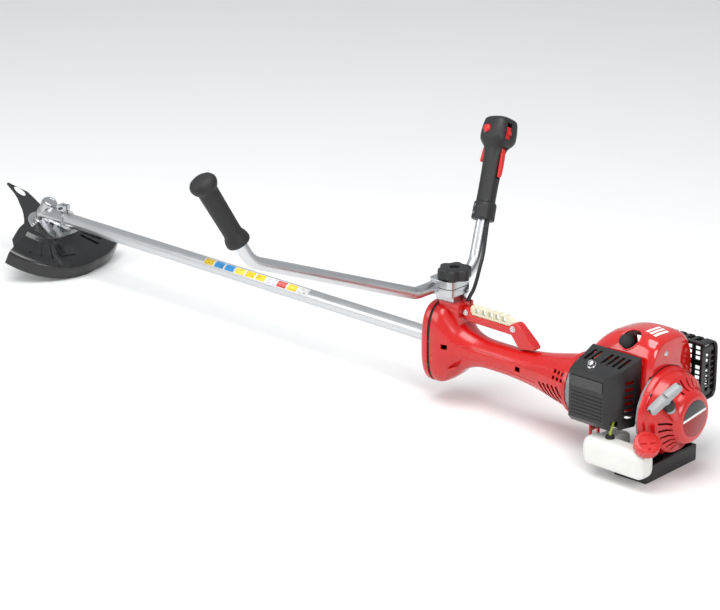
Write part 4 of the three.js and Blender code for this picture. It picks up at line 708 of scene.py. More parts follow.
def oval(half_x, half_y, power, count):
    """A rounded rectangle: power 2 is an ellipse, and a larger power squares its corners."""
    ring = []
    for step in range(count):
        angle = 2 * pi * step / count
        c, s = cos(angle), sin(angle)
        ring.append((half_x * abs(c) ** (2 / power) * (1 if c > 0 else -1),
                     half_y * abs(s) ** (2 / power) * (1 if s > 0 else -1)))
    return ring


# place along the handle, half depth towards the front and the rear, half width, squareness
HANDLE = [(31, 8, 11, 9, 2.6), (29.6, 15, 19, 16, 2.8), (24, 23, 28, 24.5, 3), (8, 26, 30.6, 27.6, 3),
          (-6, 27, 31, 28, 3), (-15, 26, 29.5, 26, 3), (-24, 21.4, 23.4, 19.4, 2.7),
          (-31, 19, 20, 16.5, 2.6), (-46, 18.5, 18.5, 15.4, 2.5), (-85, 17.6, 17.6, 14.8, 2.4),
          (-120, 17.5, 17.5, 14.5, 2.4), (-126, 18.2, 18.8, 16, 2.5), (-130, 19, 20.4, 18, 2.6),
          (-146, 19, 20.6, 18.2, 2.6), (-155, 19, 21, 18.5, 2.6), (-158, 18, 20, 17.5, 2.6)]


def handle_skin(clear=0.0):
    rings = []
    for along, front, rear, half, power in eased(HANDLE, 5):
        rings.append([(x * (front if x > 0 else rear) + (clear if x > 0 else -clear), y * half, along)
                      for x, y in oval(1, 1, power, 72)])
    return lofted(rings)


def handle_cuts():
    return [rod((0, 0, -200), (0, 0, 0.3), 11.5, steps=48), block((12, -6, -54), (45, 6, -7)),
            block((-45, -5.5, -82), (-12, 5.5, -25)), block((-45, 1.4, -12), (-21.6, 12.6, 18)),
            rod((4, 12, 4), (4, 45, 4), 8.5, steps=48), rod((-15.5, 2, -170), (-15.5, 2, -128), 4.4)]


for side, name in ((1, "front"), (-1, "rear")):
    half_space = (block((0.1, -90, -230), (120, 90, 90)) if side < 0
                  else block((-120, -90, -230), (-0.1, 90, 90)))
    made("throttle_handle_%s_half" % name, handle_skin(), RIGHT, grained_nylon, "handlebar",
         "throttle_handle_" + name, cuts=[*handle_cuts(), half_space], bevel=0.7, segments=3, slot="blackp")
for index in range(6):
    height = 14 - 5 * index
    ridge = block((6, -29.2, height - 1), (21, -22, height + 1))
    made("handle_head_rib_%d" % index, ridge, RIGHT, grained_nylon, "handlebar", bevel=0.6)
for index, (along, face) in enumerate(((-148, 18.2), (-134, 17.8), (-2, 27.4))):
    screw = rod((8, face - 3, along), (8, face + 0.6, along), 2.8, 2.6)
    made("handle_screw_%d" % index, screw, RIGHT, turned_steel, "handlebar",
         cuts=[rod((8, face - 0.6, along), (8, face + 3, along), 1.3, steps=6)], bevel=0.2)
# Signal red: the same nylon dyed through, half glossy.
signal_red = moulded("signal_red_nylon", "#c8100c", 0.34, 1.2, 0.03, coat=0.15)
TRIGGER = [(14, -8), (16, -6), (19.5, -5.5), (22, -10), (25, -26), (27, -42), (27.8, -49), (26.6, -51.6),
           (24, -52.2), (22.4, -51), (20.4, -45), (19.2, -34), (18.6, -22), (14, -18)]


def side_plate(outline, half, middle=0.0):
    """A side outline in XZ, given width along Y."""
    bm = outline_slab(outline, -half, half)
    bmesh.ops.rotate(bm, cent=(0, 0, 0), matrix=Matrix.Rotation(pi / 2, 3, "X"), verts=bm.verts)
    bmesh.ops.translate(bm, vec=(0, middle, 0), verts=bm.verts)
    return bm


made("throttle_lever", side_plate(TRIGGER, 4.9), RIGHT, signal_red, "trigger", "throttle_trigger", bevel=1.4,
     segments=4, joined=[rod((16.8, -8, -12), (16.8, 8, -12), 1.6)], slot="redp")
LOCKOUT = [(-13, -25), (-19, -25), (-21, -30), (-23, -42), (-23.4, -60), (-23, -74), (-21.6, -78.6),
           (-18.5, -80), (-18.2, -74), (-17.6, -40), (-13, -35)]
made("lockout_lever", side_plate(LOCKOUT, 4.4), RIGHT, signal_red, "lockout", "throttle_lockout", bevel=1.4,
     segments=4, slot="redp")
switch_ribs = [block((-31.2, 2.6, z), (-29.4, 11.4, z + 1.0)) for z in (-9.6, -7.2, 5.4, 7.8)]
made("stop_slide_switch", block((-30, 2, -11.4), (-22, 12, 10)), RIGHT, signal_red, "stop_switch",
     "stop_switch", joined=[block((-34, 3.5, -4.4), (-29, 10.5, 3)), *switch_ribs], bevel=0.5,
     segments=3, slot="redp")
button = turned_to(spun([(16.5, 0), (16.5, 7.8), (27, 7.8), (29.6, 6.8), (31.4, 4.6), (32, 0)], 48),
                   Matrix.Translation((4, 0, 4)) @ Matrix.Rotation(pi / 2, 4, "Z"))
made("throttle_set_push_button", button, RIGHT, signal_red, "set_button", "throttle_set_button",
     bevel=0.3, slot="redp")


# ---- control cable --------------------------------------------------------------------------------
# Throttle wire and switch leads in one black sheath, 7 mm across, from the handle's foot down behind
# the bar and into the clutch housing.
def smooth_route(points, per_gap):
    return [Vector(row) for row in eased([tuple(point) for point in points], per_gap)]


into_line = LINE.inverted() @ RIGHT
handle_exit = [1000 * (into_line @ Vector((-0.0155, 0.002, z))) for z in (-0.128, -0.146, -0.164)]
cable_route = smooth_route([*handle_exit, (-55, -92, 140), (-68, -66, 118), (-81, -42, 104),
                            (-89, -22, 92), (-89, -12, 80), (-88, -10, 66)], 8)
sheath = soft_rubber("black_pvc_sheath", "#0f0f10", 0.45, 3.0, (0, 0, 0))
cable = made("control_cable_sheath", tubed(cable_route, 3.4, 24), LINE, sheath, "machine",
             "control_cable", angle=180, slot="rubber")
cable.parent = None
del cable["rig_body"]
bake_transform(cable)


# ---- isolator -----------------------------------------------------------------------------------
# A red nylon plate carries the tube; a black rubber ring, held in the seam, keeps the engine's
# shaking out of it.
def housing_skin(stations, per_gap=5, count=96):
    """A trumpet along X: place, half width, up, down and squareness at each station."""
    rings = []
    for along, half, up, down, power in eased(stations, per_gap):
        rings.append([(along, y * half, z * (up if z > 0 else down)) for y, z in oval(1, 1, power, count)])
    return lofted(rings)


# Housing nylon: red, glass-filled, satin with a 1.4 mm grain; catches soft broad highlights.
housing_red = moulded("satin_red_nylon", "#c20d0b", 0.26, 1.4, 0.03, coat=0.30, worn=0.05)
PLATE = [(-44, 46, 76, 74, 3), (-38, 46, 76, 74, 3), (-33, 45, 75, 73, 3), (-29, 42.6, 71.5, 70, 2.9),
         (-26, 38, 65, 64, 2.8), (-23.4, 30, 50, 52, 2.5), (-21.6, 20, 25, 27, 2.2), (-21, 15, 16, 16, 2)]
made("isolator_plate_moulding", housing_skin(PLATE), LINE, housing_red, "machine", "isolator_plate",
     cuts=[housing_skin([(-50, 43, 73, 71, 3), (-36, 43, 73, 71, 3), (-31, 38, 66, 66, 3),
                         (-27, 28, 46, 48, 2.6)], per_gap=2),
           rod((-60, 0, 0), (0, 0, 0), 14.3, steps=64)],
     angle=44, slot="redp")
made("isolator_boss", spun([(-44, 14.4), (-44, 20), (-20.5, 20), (-19, 18.4), (-19, 14.4), (-44, 14.4)], 64),
     LINE, housing_red, "machine", bevel=0.5)
seam_rubber = moulded("black_moulded_rubber", "#0b0b0b", 0.7, 1.2, 0.04)
made("isolator_rubber_ring", housing_skin([(-49.7, 44.6, 74.6, 72.6, 3), (-44.3, 44.6, 74.6, 72.6, 3)]),
     LINE, seam_rubber, "machine", "isolator_rubber",
     cuts=[housing_skin([(-52, 34, 64, 62, 3), (-42, 34, 64, 62, 3)], per_gap=2)], slot="rubber")
for index, (y, z) in enumerate(((44.0, 8), (44.0, -34), (-44.0, 8), (-44.0, -34))):
    side = 1 if y > 0 else -1
    screw = rod((-47, y - side * 2, z), (-47, y + side * 1.2, z), 3.0, 2.6)
    made("seam_screw_%d" % index, screw, LINE, blackened_steel, "machine", bevel=0.3)


# ---- clutch housing -----------------------------------------------------------------------------
# The red trumpet over the shaft: a tall flat front with a tower for the handlebar's clamp, a slim
# waist with moulded lines along it, and a flared rear bolted to the engine, slotted for cooling.
TRUMPET = [(-50, 46, 76, 74, 3), (-58, 46, 75, 73, 3), (-68, 45, 71, 68, 3), (-84, 41, 54, 56, 2.8),
           (-102, 34, 37.5, 40.5, 2.4), (-128, 28, 28.5, 29.5, 2.1), (-160, 26, 25.5, 26.5, 2),
           (-200, 26, 25.5, 27, 2), (-240, 29, 28.5, 30, 2), (-275, 34, 33.5, 34.5, 2),
           (-305, 40.5, 40, 40.5, 2), (-335, 47, 47, 47, 2), (-356, 51, 51, 51, 2)]
TRUMPET_ROOM = [(min(-48.0, x) if x > -60 else x, half - 2.6, up - 2.6, down - 2.6, power)
                for x, half, up, down, power in TRUMPET]
TRUMPET_ROOM[0] = (-48, *TRUMPET_ROOM[0][1:])
TRUMPET_ROOM[-1] = (-358, *TRUMPET_ROOM[-1][1:])


tower = side_plate([(-94, 38), (-94, 80), (-50, 80), (-50, 38)], 20)
collar_step = side_plate([(-94.6, 66), (-94.6, 72), (-50, 72), (-50, 66)], 21.5)
flange = spun([(-356, 48), (-356, 54), (-349, 54), (-349, 50), (-351, 47), (-356, 48)], 96)
slits = []
for index in range(5):
    slit = block((-2.6, 0, -17), (2.6, 60, 17))
    bmesh.ops.rotate(slit, cent=(0, 0, 0), matrix=Matrix.Rotation(radians(34), 3, "Y"), verts=slit.verts)
    bmesh.ops.translate(slit, vec=(-341 + 11 * index, 14, -13 - 1.5 * index), verts=slit.verts)
    slits.append(slit)
for x in (-343, -333, -323):
    for z in (14, 24):
        slits.append(block((x - 3, 10, z - 3), (x + 3, 70, z + 3)))
made("clutch_housing_moulding", housing_skin(TRUMPET), LINE, housing_red, "machine", "drive_housing",
     joined=[tower, collar_step, flange],
     cuts=[housing_skin(TRUMPET_ROOM, per_gap=3, count=72),
           side_plate([(-91, 30), (-91, 76), (-53, 76), (-53, 30)], 17),
           rod((-67, 0, 20), (-67, 0, 100), 4.3), rod((-88, -10, 60), (-89.2, -14, 86), 5.5),
           block((-86, 30, 1), (-74, 60, 10)), block((-86, -60, 1), (-74, -30, 10)),
           block((-240, 15, -4), (-228, 60, 5)), *slits],
     bevel=0.9, segments=3, angle=40, slot="redp")
# Moulding lines along the waist and stiffening ribs under the front.
for index, (z0, z1) in enumerate(((12, 9), (-9, -12))):
    line_points = []
    for along, half, up, down, power in eased(TRUMPET[4:10], 6):
        height = z0 + (z1 - z0) * (along + 102) / -173
        reach = up if height > 0 else down
        width = half * (1 - min(abs(height) / reach, 1) ** power) ** (1 / power)
        line_points.append((along, width + 0.1, height))
    for side in (1, -1):
        bead = tubed([(x, side * y, z) for x, y, z in line_points], 0.9, 10)
        made("waist_bead_%d_%s" % (index, "l" if side > 0 else "r"), bead, LINE, housing_red, "machine",
             angle=180)
for index in range(4):
    for side in (1, -1):
        fin = side_plate([(-62 - 8 * index, -62 + 7 * index), (-100 - 3 * index, -40 + 4 * index),
                          (-100 - 3 * index, -36 + 4 * index), (-62 - 8 * index, -56 + 7 * index)], 1.2,
                         side * (27 + 3.4 * index))
        made("front_fin_%d_%s" % (index, "l" if side > 0 else "r"), fin, LINE, housing_red, "machine",
             bevel=0.5)


# ---- carrying handle and hanger rail --------------------------------------------------------------
# A red bridge over the waist, screwed to the tower in front and to the housing behind; on it stands a
# cream nylon rail with a row of slots for the harness hook.
arch = [(-94.3, 54), (-94.3, 74), (-104, 75.5), (-112, 62.7), (-196, 62.7), (-201, 68), (-208, 72.6),
        (-214, 73), (-220, 70.4), (-251, 44), (-255.4, 38), (-255, 34), (-222, 28), (-216, 34), (-203, 50),
        (-150, 50.6), (-112, 51)]
made("carry_handle_moulding", side_plate(arch, 9), LINE, housing_red, "machine", "carry_handle",
     bevel=2.6, segments=5, angle=20, slot="redp")
rail_cream = moulded("cream_acetal", "#dcd8bf", 0.42, 1.2, 0.02, coat=0.1)
rail = side_plate([(-107.5, 63), (-107.5, 75), (-110, 79.4), (-114, 81), (-192, 80), (-199, 77.4),
                   (-207.5, 72), (-207.5, 63)], 4)
made("hanger_rail_moulding", rail, LINE, rail_cream, "machine", "hanger_rail",
     cuts=[block((-127 - 15 * k, -9, 67), (-117 - 15 * k, 9, 77)) for k in range(5)],
     joined=[block((-115.2 - 15 * k, -5.4, 63.2), (-112.8 - 15 * k, 5.4, 81.6)) for k in range(6)],
     bevel=0.7, segments=3, slot="cream")
# Bright zinc: screws with a pressed washer face.
bright_zinc = anodised("bright_zinc_plate", "#d9dadb", 0.22, 0.4, "")
for index, (x, z) in enumerate(((-100.5, 66), (-207, 62))):
    made("handle_bolt_%d" % index,
         turned_to(spun([(0, 0), (0, 5.6), (0.8, 5.8), (1.2, 4.6), (3.0, 4.4), (3.4, 3.6), (3.4, 0)], 48),
                   Matrix.Translation((x, 8.9, z)) @ Matrix.Rotation(pi / 2, 4, "Z")),
         LINE, bright_zinc, "machine",
         cuts=[rod((x, 10.6, z), (x, 14, z), 2.0, steps=6)], bevel=0.2)


# ---- clutch, crank and cylinder -------------------------------------------------------------------
# The engine's core: crank, crankcase and finned cylinder of rough cast alloy, with a flywheel fan
# behind, mostly hidden under the covers.
cast_alloy = moulded("rough_cast_alloy", "#8e9092", 0.5, 0.9, 0.12)
surface(cast_alloy, {"Metallic": 0.9, "IOR": 1.5})
dress(cast_alloy, "crankcase", "cylinder", "piston", "flywheel_fan")
dress(blackened_steel, "spark_plug")
made("plug_boot_moulding",
     turned_to(spun([(0, 0), (0, 12), (2, 13.4), (13, 13.4), (15, 12.4), (17, 13.2), (19, 12.4), (21, 13),
                     (26, 9), (27, 0)], 48), Matrix.Translation((-447, 10, 94)) @
               Vector((-15, 14, 20)).to_track_quat("X", "Z").to_matrix().to_4x4()),
     LINE, seam_rubber, "machine", "plug_boot", angle=40, slot="rubber")


# ---- starter housing --------------------------------------------------------------------------------
# The red cone behind the engine that holds the recoil starter: slots fan out on its upper face, square
# vents on its lower left, and the rope leaves through a boss at the top.
CONE = [(-523.3, 74), (-532, 74), (-535, 72.6), (-537, 70), (-545, 68.4), (-553, 66), (-559, 58), (-565, 50),
        (-571, 47.4), (-577, 45), (-582, 42), (-584.4, 38.6), (-585, 36)]
PULL = Vector((0, 0.5878, 0.8090))
GUIDE = Vector((-573, 50, 26))


def on_pull(distance):
    return GUIDE + distance * PULL


cone_room = [(x, max(r - 2.5, 0)) for x, r in CONE[:-1]] + [(-582.5, 34), (-582.5, 0)]
vents = []
for k in range(11):
    gap = block((-574, -1.8, 44), (-556, 1.8, 70))
    turn = -20 + 15 * k if k < 5 else -155 + 13 * (k - 5)
    bmesh.ops.rotate(gap, cent=(0, 0, 0), matrix=Matrix.Rotation(radians(turn), 3, "X"), verts=gap.verts)
    vents.append(gap)
made("starter_cone_moulding", spun([(-523.3, 0), *CONE, (-585, 0)], 128), LINE, housing_red, "machine",
     "starter_housing",
     cuts=[spun([(-500, 0), (-523.3 + 2, 71.5), *cone_room[1:]], 96), *vents,
           rod(on_pull(-60), on_pull(8), 2.6)],
     joined=[rod(on_pull(-26), on_pull(0), 9), rod((-584, 0, 0), (-546, 0, 0), 6)],
     bevel=0.7, segments=3, angle=34, slot="redp")
# Label disc: blank, dark above a white rule and red below.
label = new_material("gloss_label_film")
where = add_node(label, "ShaderNodeTexCoord")
split = add_node(label, "ShaderNodeSeparateXYZ", {0: where.outputs["Object"]})
tilt = add_node(label, "ShaderNodeMath", {0: split.outputs["Y"], 1: 0.12}, operation="MULTIPLY")
height = add_node(label, "ShaderNodeMath", {0: split.outputs["Z"], 1: tilt.outputs[0]}, operation="ADD")
over = add_node(label, "ShaderNodeMath", {0: height.outputs[0], 1: 0.1116}, operation="GREATER_THAN")
above = add_node(label, "ShaderNodeMath", {0: height.outputs[0], 1: 0.1160}, operation="GREATER_THAN")
lower = add_node(label, "ShaderNodeMix", {0: over.outputs[0], 6: colour("#8f1310"), 7: colour("#e6e6e2")},
                 data_type="RGBA")
whole = add_node(label, "ShaderNodeMix", {0: above.outputs[0], 6: lower.outputs[2], 7: colour("#3a3b3d")},
                 data_type="RGBA")
speck = add_node(label, "ShaderNodeTexNoise", {0: where.outputs["Object"], "Scale": 900.0, "Detail": 3.0})
sheen = add_node(label, "ShaderNodeMapRange", {0: speck.outputs[0], 3: 0.16, 4: 0.3})
surface(label, {"Base Color": whole.outputs[2], "Roughness": sheen.outputs[0]})
made("starter_label", spun([(-584, 0), (-584, 31), (-585.6, 31.4), (-586, 30.6), (-586, 0)], 96), LINE, label,
     "machine", bevel=0.15)
for index in range(4):
    turn = Matrix.Rotation(radians(38 + 90 * index), 4, "X")
    lug = rod((-523.4, 0, 69), (-534, 0, 69), 6.4, 5.8, 40)
    made("starter_lug_%d" % index, turned_to(lug, turn), LINE, housing_red, "machine", bevel=1.0, segments=3)
    head = spun([(-533, 0), (-533, 3.9), (-536.4, 3.7), (-537, 2.8), (-537, 0)], 32)
    bmesh.ops.translate(head, vec=(0, 0, 69), verts=head.verts)
    made("starter_screw_%d" % index, turned_to(head, turn), LINE, blackened_steel, "machine", bevel=0.2)
dress(natural_nylon, "starter_reel")


# ---- starter grip and rope ----------------------------------------------------------------------------
# A silver-grey T grip on a black cord: its stem sits in the housing's boss and the cord winds on the
# reel when it is let go.
grip_grey = moulded("silver_grey_nylon", "#9a9c9e", 0.4, 0.9, 0.03, coat=0.15)
cord = new_material("braided_black_cord")
where = add_node(cord, "ShaderNodeTexCoord")
braid = add_node(cord, "ShaderNodeTexVoronoi", {0: where.outputs["Object"], "Scale": 900.0})
shade = add_node(cord, "ShaderNodeMix", {0: braid.outputs[0], 6: colour("#101010"), 7: colour("#2c2c2c")},
                 data_type="RGBA")
bump = add_node(cord, "ShaderNodeBump", {"Strength": 0.4, "Distance": 0.0004, "Height": braid.outputs[0]})
surface(cord, {"Base Color": shade.outputs[2], "Roughness": 0.8, "Normal": bump.outputs[0]})
crossbar = Vector((sin(radians(14)), cos(radians(14)), 0))
crossbar = (crossbar - crossbar.dot(PULL) * PULL).normalized()
grip_turn = Matrix((crossbar.cross(PULL), crossbar, PULL)).transposed().to_4x4()
GRIP = LINE @ Matrix.Translation(on_pull(32.3) / 1000) @ grip_turn
grip_bar = []
for along, half, up, down, power in eased(
        [(-33, 6, 3, 6, 3), (-31, 7.6, 4.6, 7.4, 3), (-26, 8.5, 6, 8, 3), (0, 9, 8.5, 8, 2.6),
         (26, 8.5, 6, 8, 3), (31, 7.6, 4.6, 7.4, 3), (33, 6, 3, 6, 3)], 4):
    grip_bar.append([(-y * half, along, z * (up if z > 0 else down)) for y, z in oval(1, 1, power, 48)])
made("starter_grip_moulding", lofted(grip_bar), GRIP, grip_grey, "starter_grip", "starter_grip",
     cuts=[block((-9, -3, 3), (9, 3, 20)), rod((0, 0, -40), (0, 0, -4), 2.6)],
     joined=[rod((0, 0, -32.3), (0, 0, 0), 8, 7, 48)], bevel=0.6, segments=3, slot="silver")
for index, side in enumerate((1, -1)):
    end_cap = rod((0, side * 31.4, 1), (0, side * 33.9, 1), 4.2, 3.4, 40)
    made("starter_grip_plug_%d" % index, end_cap, GRIP, seam_rubber, "starter_grip", bevel=0.4)
made("starter_grip_collar", spun([(-24, 7.2), (-24, 10.4), (-20, 11), (-12, 10.2), (-9, 8.8), (-9, 7.2),
                                  (-24, 7.2)], 48, "Z"), GRIP, grained_nylon, "starter_grip", bevel=0.6)
rope_line = [on_pull(-50.4 + (27 + 50.4) * k / 24) for k in range(25)]
rope = made("starter_rope_braid", tubed(rope_line, 1.8, 20), LINE, cord, "machine", "starter_rope", angle=180,
            slot="white")
rope.parent = None
del rope["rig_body"]
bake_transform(rope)


# ---- engine cover -----------------------------------------------------------------------------------
# The glossy red dome over the cylinder. A large oval hole on its left shows the spark plug's black
# boot, and three pale stripes run round its upper rear corner.
gloss_red = moulded("gloss_red_cover", "#c60d0b", 0.14, 2.2, 0.006, coat=0.75, worn=0.04)
DOME = [(-362, 44, 44), (-366, 47, 54), (-374, 50, 66), (-388, 54, 88), (-408, 56, 107), (-432, 57, 119),
        (-460, 58, 126), (-492, 59, 127), (-512, 59, 124), (-520, 56, 119.6), (-522, 54, 116)]
DOME_ROOM = [(-371, 38, 40), (-378, 46.6, 60), (-390, 51.6, 85.6), (-410, 53.6, 104.6), (-434, 54.8, 116.8),
             (-460, 55.8, 123.8), (-492, 56.8, 124.8), (-508, 56.6, 121.6), (-516, 54.4, 117.2),
             (-519.6, 51, 112)]


def dome_skin(stations, per_gap=5, count=120):
    """The cover's dome: half width and top at each place along X, about its own centre line."""
    rings = []
    for along, half, top in eased(stations, per_gap):
        rings.append([(along, -19 + y * half, 20 + z * ((top - 20) if z > 0 else 60))
                      for y, z in oval(1, 1, 3.2, count)])
    return lofted(rings)


plug_way = rod((-459, 8, 92), (-470, 34, 146), 17, 21, 72)
made("engine_cover_moulding", dome_skin(DOME), LINE, gloss_red, "machine", "engine_cover",
     cuts=[dome_skin(DOME_ROOM, 3, 84), block((-469.6, 21.3, -40), (-410.4, 70, 73.7)),
           block((-493.6, -110, -40), (-412.4, -48.3, 84.7)), block((-600, -120, -140), (-300, 120, -14)),
           rod((-600, 0, 0), (-517, 0, 0), 75, steps=96), rod((-400, 0, 0), (-340, 0, 0), 55, steps=72),
           plug_way, block((-423, -6.4, 90), (-413, -1.6, 160))],
     bevel=0.8, segments=3, angle=34, slot="redp")
# The lip round the plug hole and the rib that falls from it to the air cleaner.
PLUG_AXIS = Vector((-11, 26, 54)).normalized()
LIP_AT, LIP_R = Vector((-465, 19, 115)), 18.6


def dome_hit(x, y):
    """Height of the dome's outside at a place in plan."""
    stations = eased(DOME, 5)
    ahead, behind = next((a, b) for a, b in zip(stations, stations[1:]) if a[0] >= x >= b[0])
    part = (ahead[0] - x) / (ahead[0] - behind[0])
    half, top = (ahead[k] + part * (behind[k] - ahead[k]) for k in (1, 2))
    share = min(abs(y + 19) / half, 1)
    return 20 + (top - 20) * (1 - share ** 3.2) ** (1 / 3.2)


lip_line = []
side = PLUG_AXIS.cross(Vector((1, 0, 0))).normalized()
ahead = side.cross(PLUG_AXIS)
for k in range(97):
    angle = 2 * pi * k / 96
    spot = LIP_AT + LIP_R * (cos(angle) * ahead + sin(angle) * side)
    for attempt in range(30):  # each step halves the gap to the dome's skin
        gap = spot.z - dome_hit(spot.x, spot.y)
        spot = spot - gap * 0.5 * PLUG_AXIS
    lip_line.append(spot)
made("plug_hole_lip", tubed(lip_line, 1.5, 12), LINE, gloss_red, "machine", angle=180)
# Three slanted white flashes over the top rear corner: enamel tape 0.15 mm thick.
flash_white = moulded("white_gloss_tape", "#eceae6", 0.22, 2.0, 0.004, coat=0.5)
for index in range(3):
    strip = bmesh.new()
    rows = []
    for step in range(25):
        y = 2 + 2 * index - 1.25 * step
        row = []
        for edge in (0, 2, 4, 6):
            x = -480 - 9.4 * index - edge - 0.15 * (10 - y)
            row.append(strip.verts.new((x, y, dome_hit(x, y) + 0.3)))
        rows.append(row)
    for near, far in zip(rows, rows[1:]):
        for k in range(3):
            strip.faces.new((near[k], near[k + 1], far[k + 1], far[k]))
    made("cover_flash_%d" % index, strip, LINE, flash_white, "machine", angle=180)
cover_screw = turned_to(spun([(0, 0), (0, 5.4), (1.4, 5.2), (2.6, 3.8), (3, 2.4), (3, 0)], 40),
                        Matrix.Translation((-520.6, -2, 96)) @ Matrix.Rotation(pi, 4, "Z"))
made("cover_rear_screw", cover_screw, LINE, bright_zinc, "machine",
     cuts=[rod((-522.4, -2, 96), (-527, -2, 96), 1.8, steps=6)], bevel=0.2)


# ---- air cleaner --------------------------------------------------------------------------------------
# A black box on the left of the engine, held by one chrome bolt: slanted slots in its sloping top, a
# plain band and fine ribs on its face, louvres in the chamfer behind. A paper element sits inside.
def air_shell(inset):
    """The air cleaner's plan, taken in by an inset and run up through its whole height."""
    return outline_slab([(-404 - inset, 41 - 2 * inset), (-405 - inset, 104 - inset),
                         (-475 + inset / 2, 104 - inset), (-492 + inset, 82 - inset), (-504 + inset, 46),
                         (-504 + inset, 41 - 2 * inset)], -60, 120)


def air_section(inset):
    """The same box's section in YZ, run along X."""
    bm = outline_slab([(52, -22 + inset), (95, -22 + inset), (105 - inset, -11 + inset),
                       (105 - inset, 70 - inset), (82 - inset / 2, 79 - inset),
                       (41 - 2 * inset, 96 - inset), (41 - 2 * inset, 2 + inset)], -600, -300)
    turn = Matrix(((0, 0, 1, 0), (1, 0, 0, 0), (0, 1, 0, 0), (0, 0, 0, 1)))
    bmesh.ops.transform(bm, matrix=turn, verts=bm.verts)
    return bm


def both(name, first, second):
    """What two bmeshes share, as a bmesh."""
    meshes = []
    for part in (first, second):
        mesh = bpy.data.meshes.new(name)
        part.to_mesh(mesh)
        part.free()
        meshes.append(bpy.data.objects.new(name, mesh))
        bpy.context.scene.collection.objects.link(meshes[-1])
    step = meshes[0].modifiers.new("share", "BOOLEAN")
    step.operation = "INTERSECT"
    step.solver = "EXACT"
    step.object = meshes[1]
    shared = bmesh.new()
    shared.from_object(meshes[0], bpy.context.evaluated_depsgraph_get())
    for part in meshes:
        bpy.data.objects.remove(part)
    return shared


air_black = moulded("black_filter_nylon", "#111112", 0.42, 1.6, 0.05, coat=0.08)
air_slots = []
for k in range(7):
    gap = block((-3, 50, 60), (3, 76, 120))
    bmesh.ops.rotate(gap, cent=(0, 63, 0), matrix=Matrix.Rotation(radians(-14), 3, "Z"), verts=gap.verts)
    bmesh.ops.translate(gap, vec=(-416 - 11.6 * k, 0, 0), verts=gap.verts)
    if k != 2:
        air_slots.append(gap)
for k in range(6):
    air_slots.append(block((-520, 54, -6 + 12 * k), (-490, 72, 12 * k)))
ON_BOLT = Vector((-436, 82, 74))
BOLT_WAY = Vector((0, 0.5, 0.866))
made("air_cleaner_shell", both("air_cleaner_shell", air_shell(0), air_section(0)), LINE, air_black, "machine",
     "air_cleaner_cover",
     cuts=[both("air_cleaner_room", air_shell(2.5), air_section(2.5)), *air_slots,
           rod(ON_BOLT - 10 * BOLT_WAY, ON_BOLT + 20 * BOLT_WAY, 3.4),
           rod((-482, 84, -32), (-482, 84, -6), 9, steps=40)],
     bevel=2.2, segments=4, angle=24, slot="blackp")
for k in range(7):
    ridge = rod((-410, 104.6, -6 + 6.4 * k), (-472, 104.6, -6 + 6.4 * k), 1.15, steps=16)
    made("air_cleaner_rib_%d" % k, ridge, LINE, air_black, "machine", bevel=0.3)
blank_band = moulded("gloss_black_band", "#0c0c0d", 0.14, 2.4, 0.004, coat=0.6)
made("air_cleaner_band", block((-474, 104.4, 44), (-409, 105.9, 62)), LINE, blank_band, "machine", bevel=0.6)
chrome = anodised("bright_chrome", "#e2e3e4", 0.08, 0.8, "")
bolt_turn = BOLT_WAY.to_track_quat("X", "Y").to_matrix().to_4x4()
bolt_at = Matrix.Translation(ON_BOLT) @ bolt_turn
made("air_bolt_head", turned_to(spun([(-6, 0), (-6, 2.8), (4.4, 2.8), (4.6, 7.6), (6.4, 7.8), (7.2, 6.4),
                                      (11.4, 5.6), (13.4, 4.8), (14, 3.6), (14, 0)], 56), bolt_at), LINE,
     chrome, "air_bolt", "air_cleaner_bolt",
     cuts=[turned_to(block((12.4, -6, -0.7), (16, 6, 0.7)), bolt_at)], bevel=0.25, slot="steel")
# Pleated filter paper, 5 mm to a pleat; its colour is painted shade, dark tan in each pleat's crease and pale
# cream on its crest, over the pleats' bump.
pleats = new_material("pleated_filter_paper")
where = add_node(pleats, "ShaderNodeTexCoord")
wave = add_node(pleats, "ShaderNodeTexWave", {0: where.outputs["Object"], "Scale": 31.0, "Distortion": 0.4})
# painted shade on the pleats: the dark tan falls in the creases, the pale cream on the crests
shade = add_node(pleats, "ShaderNodeMix", {0: wave.outputs[1], 6: colour("#b39a63"), 7: colour("#e2d3a4")},
                 data_type="RGBA")
relief = add_node(pleats, "ShaderNodeBump", {"Strength": 0.8, "Distance": 0.0016, "Height": wave.outputs[1]})
surface(pleats, {"Base Color": shade.outputs[2], "Normal": relief.outputs[0], "Roughness": 0.9})
dress(pleats, "air_filter_element")
dress(cast_alloy, "carburettor")


# ---- muffler and its guard -----------------------------------------------------------------------------
# The exhaust can on the right, caged by a black guard with rounded corners: slats on top, two rows of
# slots in its side, so that nothing touches hot steel.
hot_steel = anodised("heat_stained_steel", "#6f6a64", 0.42, 0.8, "")
dress(hot_steel, "muffler")
guard_shells = []
for inset in (0, 2.5):
    rings = []
    for along, half, tall in eased([(-540 + inset, 29.4, 43.4), (-538.6 + inset, 31.8, 45.8),
                                    (-534 + inset, 37, 51.4), (-424 - inset, 37, 51.4),
                                    (-417.4 - inset, 31.8, 45.8), (-416 - inset, 29.4, 43.4)], 5):
        rings.append([(along, -82 + y * (half - inset), 44 + z * (tall - inset))
                      for y, z in oval(1, 1, 7, 120)])
    guard_shells.append(lofted(rings))
gaps = []
for k in range(6):
    x = -526 + 17 * k
    gaps += [block((x, -140, 4 + 44 * row), (x + 10, -112, 38 + 44 * row)) for row in range(2)]
    gaps.append(block((x, -116, 85), (x + 10, -86, 110)))
gaps += [block((-560, -112 + 14 * k, 8), (-525, -103 + 14 * k, 78)) for k in range(2)]
made("muffler_guard_shell", guard_shells[0], LINE, air_black, "machine", "muffler_guard",
     cuts=[guard_shells[1], block((-600, -78.4, -40), (-400, 0, 140)), *gaps], bevel=0.8, segments=3,
     angle=36, slot="blackp")
